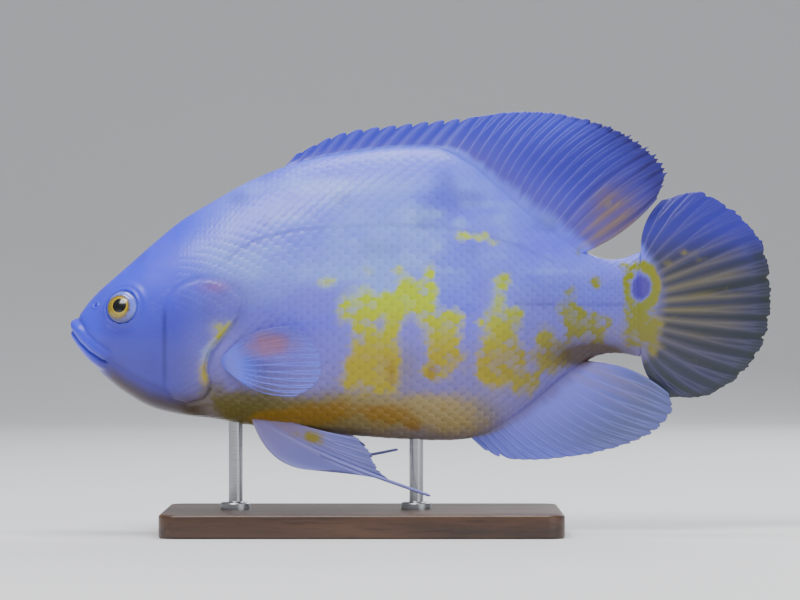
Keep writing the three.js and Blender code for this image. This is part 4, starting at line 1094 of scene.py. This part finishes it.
eyeTones = dict(white=(70, 84, 206), whiter=(124, 140, 250), iris=(90, 72, 12), gold=(190, 166, 26),
                darkRim=(70, 52, 40), thinRing=(206, 172, 40), pupil=(6, 6, 10), edge=(84, 90, 160),
                shadow=(56, 48, 84))
eyeRings = dict(white=(4.9, 5.7), darkRim=(4.3, 5.0), darkRimEnds=(5.2, 6.0), thinRing=(3.3, 3.7),
                pupil=(3.05, 3.25), edge=(6.0, 6.9), shadowBelow=(2.0, 6.0), shadowFrom=(4.0, 6.0))


def eyeMaterial():
    # Gold iris a little off the middle, its rim dark, in a bluish white; then thin ring, pupil and shadows
    tones = {part: tone(*colour) for part, colour in eyeTones.items()}
    material, tree, shader = newMaterial("eye")
    fromPupil, fromRing = field(tree, "fromPupil"), field(tree, "fromRing")
    fine, soft = mottled(tree, 900.0, 5.0), mottled(tree, 350.0, 3.0)
    past = lambda value, ring: spread(tree, value, *eyeRings[ring])
    within = lambda value, ring: less(tree, 1.0, past(value, ring))
    shifted = mathNode(tree, "MULTIPLY_ADD", less(tree, fine, 0.5), 1.6, fromRing)
    gold = mixColours(tree, fine, tones["iris"], tones["gold"])
    white = mixColours(tree, soft, tones["white"], tones["whiter"])
    darkRim = times(tree, past(shifted, "darkRim"), within(shifted, "darkRimEnds"))
    shadow = times(tree, past(field(tree, "lower"), "shadowBelow"), past(fromPupil, "shadowFrom"))
    colour = paint(
        tree, gold, (past(shifted, "white"), white), (times(tree, darkRim, 0.6), tones["darkRim"]),
        (within(fromPupil, "thinRing"), tones["thinRing"]), (within(fromPupil, "pupil"), tones["pupil"]),
        (times(tree, past(fromPupil, "edge"), 0.5), tones["edge"]),
        (times(tree, shadow, 0.7), tones["shadow"]))
    setShader(tree, shader, Base_Color=colour, Normal=bumpNode(tree, fine, 0.2, 0.0002), Roughness=0.3,
              Coat_Weight=1.0, Coat_Roughness=0.03, IOR=1.38)
    return material


# Stand
stand = dict(length=170, width=104, height=10, corner=8, edge=1.2, x=-25, inner=(0.96, 0.94),
             rod=3.0, collar=6.5, collarHeight=3.0, shoulder=0.9, fillet=0.5, foot=10, insideBelly=1.5,
             rods=dict(front=(-79.4, 46.8), rear=(-2.0, 39.3)), sides=64)


def makeBase():
    # Rounded rectangle carried up a profile: the edges are quarter circles at the bottom and the top
    bend = np.linspace(0, math.pi / 2, 9)
    e = stand["edge"]
    inset = np.concatenate([e - e * np.sin(bend), e - e * np.cos(bend)])
    level = np.concatenate([e - e * np.cos(bend), stand["height"] - e + e * np.sin(bend)])
    quarter = np.linspace(0, math.pi / 2, 17)
    angles = np.concatenate([quarter + k * math.pi / 2 for k in range(4)])
    sides = len(angles)
    half = np.array([stand["length"], stand["width"]]) / 2 - stand["corner"]
    corners = np.repeat([[1, 1], [-1, 1], [-1, -1], [1, -1]], len(quarter), axis=0) * half
    arc = np.stack([np.cos(angles), np.sin(angles)], -1)
    ring = lambda flat, z: np.concatenate([flat + [stand["x"], 0], np.full((sides, 1), z)], 1)
    inner = corners * stand["inner"]
    points = np.array([ring(inner, 0.0)]
                      + [ring(corners + (stand["corner"] - cut) * arc, z) for cut, z in zip(inset, level)]
                      + [ring(inner, stand["height"])])
    top = (len(points) - 1) * sides
    faces = gridFaces(len(points), sides, wrapColumns=True).tolist()
    faces += [list(range(sides - 1, -1, -1)), list(range(top, top + sides))]
    return makePiece("stand_board", points, faces, closeSeams=1e-6)


def makeRod(name, x, top):
    # Turned profile: collar with a rounded shoulder, then the rod, its top inside the belly
    bottom, height = stand["height"], stand["collarHeight"]
    shoulder, fillet = stand["shoulder"], stand["fillet"]
    bend = np.linspace(0, math.pi / 2, 8)
    r = np.concatenate([[0.001, stand["collar"]], stand["collar"] - shoulder + shoulder * np.cos(bend),
                        [stand["rod"] + fillet], stand["rod"] + fillet - fillet * np.sin(bend),
                        [stand["rod"], stand["rod"], 0.001]])[:, None]
    z = np.concatenate([[0, 0], height - shoulder + shoulder * np.sin(bend), [height],
                        height + fillet - fillet * np.cos(bend), [stand["foot"], top - bottom, top - bottom]])
    turn = np.linspace(0, 2 * math.pi, stand["sides"], endpoint=False)
    points = np.stack([x + r * np.cos(turn), r * np.sin(turn), bottom + z[:, None] + 0 * turn], -1)
    piece = makePiece(name, points, gridFaces(len(r), stand["sides"], wrapColumns=True), closeSeams=3e-6)
    split = piece.modifiers.new("creases", "EDGE_SPLIT")
    split.split_angle = math.radians(40)
    return piece


def grainNoise(tree, stretch, scale, detail, roughness=0.5, bent=0.0):
    # Noise over the piece's own place, drawn out by unlike scales along the three axes
    place = addNode(tree, "ShaderNodeTexCoord").outputs["Object"]
    place = addNode(tree, "ShaderNodeMapping", {"Vector": place, "Scale": stretch}).outputs[0]
    return addNode(tree, "ShaderNodeTexNoise", {"Vector": place, "Scale": scale, "Detail": detail,
                                                "Roughness": roughness, "Distortion": bent}).outputs["Fac"]


wood = dict(middle=(44, 30, 24), light=(96, 66, 46), dark=(26, 18, 14), alongBoard=(7.0, 90.0, 90.0))
steel = dict(dark=(150, 152, 156), light=(206, 208, 212), brushed=(60.0, 60.0, 4000.0))


def woodMaterial():
    material, tree, shader = newMaterial("dark wood")
    grain = grainNoise(tree, wood["alongBoard"], 1.0, 8.0, roughness=0.6, bent=0.6)
    pores = spread(tree, grainNoise(tree, wood["alongBoard"], 9.0, 3.0), 0.55, 0.72)
    colour = paint(tree, tone(*wood["middle"]), (spread(tree, grain, 0.35, 0.68), tone(*wood["light"])),
                   (times(tree, pores, 0.5), tone(*wood["dark"])))
    setShader(tree, shader, Base_Color=colour, Normal=bumpNode(tree, less(tree, grain, pores), 0.15, 0.0003),
              Roughness=0.38, Coat_Weight=0.2, Coat_Roughness=0.25)
    return material


def steelMaterial():
    material, tree, shader = newMaterial("brushed steel")
    lines = grainNoise(tree, steel["brushed"], 1.0, 3.0)
    colour = mixColours(tree, lines, tone(*steel["dark"]), tone(*steel["light"]))
    setShader(tree, shader, Base_Color=colour, Roughness=mathNode(tree, "MULTIPLY_ADD", lines, 0.22, 0.2),
              Normal=bumpNode(tree, lines, 0.12, 0.0001), Metallic=1.0)
    return material


# Putting it together
def dress(piece, material, replaced=()):
    piece.data.materials.append(material)
    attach(piece, "root")
    if replaced:
        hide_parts(*replaced)


skinLook = skinMaterial()
skin = makeSkin()
dress(skin, skinLook, ("head", "lower_jaw", "torso", "tail_stem",
                               "gill_cover_left", "gill_cover_right"))
print("skin made")
scaleLook = scaleMaterial()
for side, name in ((-1, "scales_left"), (1, "scales_right")):
    dress(makeScales(side, name), scaleLook)
finLooks = {title: finMaterial(title) for title in finTones}
for title, fin in fins.items():
    look = finLooks[finKind(title)]
    dress(makeFin(title, fin), look, (fin["node"],))
    if "filament" in fin:
        dress(makeFilament(title, fin), look)
eyeLook = eyeMaterial()
for side, name, node in ((-1, "eyeball_left", "eye_left"), (1, "eyeball_right", "eye_right")):
    dress(makeEye(side, name), eyeLook, (node,))
dress(makeBase(), woodMaterial(), ("stand_base",))
steelLook = steelMaterial()
for name, (x, top) in stand["rods"].items():
    rod = makeRod("rod_" + name, x, top + stand["insideBelly"])
    dress(rod, steelLook, ("stand_rod_" + name,))
print("pieces made")


floorSizes = dict(near=-4.0, flat=1.6, bend=1.2, back=2.8, wall=5.0, half=5.0)  # metres


def makeFloor():
    # A flat floor that curves up far behind into a wall
    bend = np.linspace(0.1, math.pi / 2, 20)
    reach = np.concatenate([[floorSizes["near"], floorSizes["flat"]],
                            floorSizes["flat"] + floorSizes["bend"] * np.sin(bend), [floorSizes["back"]]])
    level = np.concatenate([[0, 0], floorSizes["bend"] * (1 - np.cos(bend)), [floorSizes["wall"]]])
    across = np.array([-floorSizes["half"], floorSizes["half"]])
    reach, level = reach[:, None], level[:, None]
    points = np.stack(np.broadcast_arrays(across, reach, level), -1)
    floor = makePiece("floor", points / mm, gridFaces(len(reach), 2))
    material, tree, shader = newMaterial("floor")
    setShader(tree, shader, Base_Color=tone(222, 223, 226), Roughness=0.7)
    floor.data.materials.append(material)


makeFloor()
for name, (place, size, power, colour) in lights.items():
    addLight(name, place, size, power, colour)
world = bpy.data.worlds.new("studio")
world.use_nodes = True
sky = world.node_tree.nodes["Background"]
sky.inputs[0].default_value = surroundings["colour"]
sky.inputs[1].default_value = surroundings["strength"]
bpy.context.scene.world = world
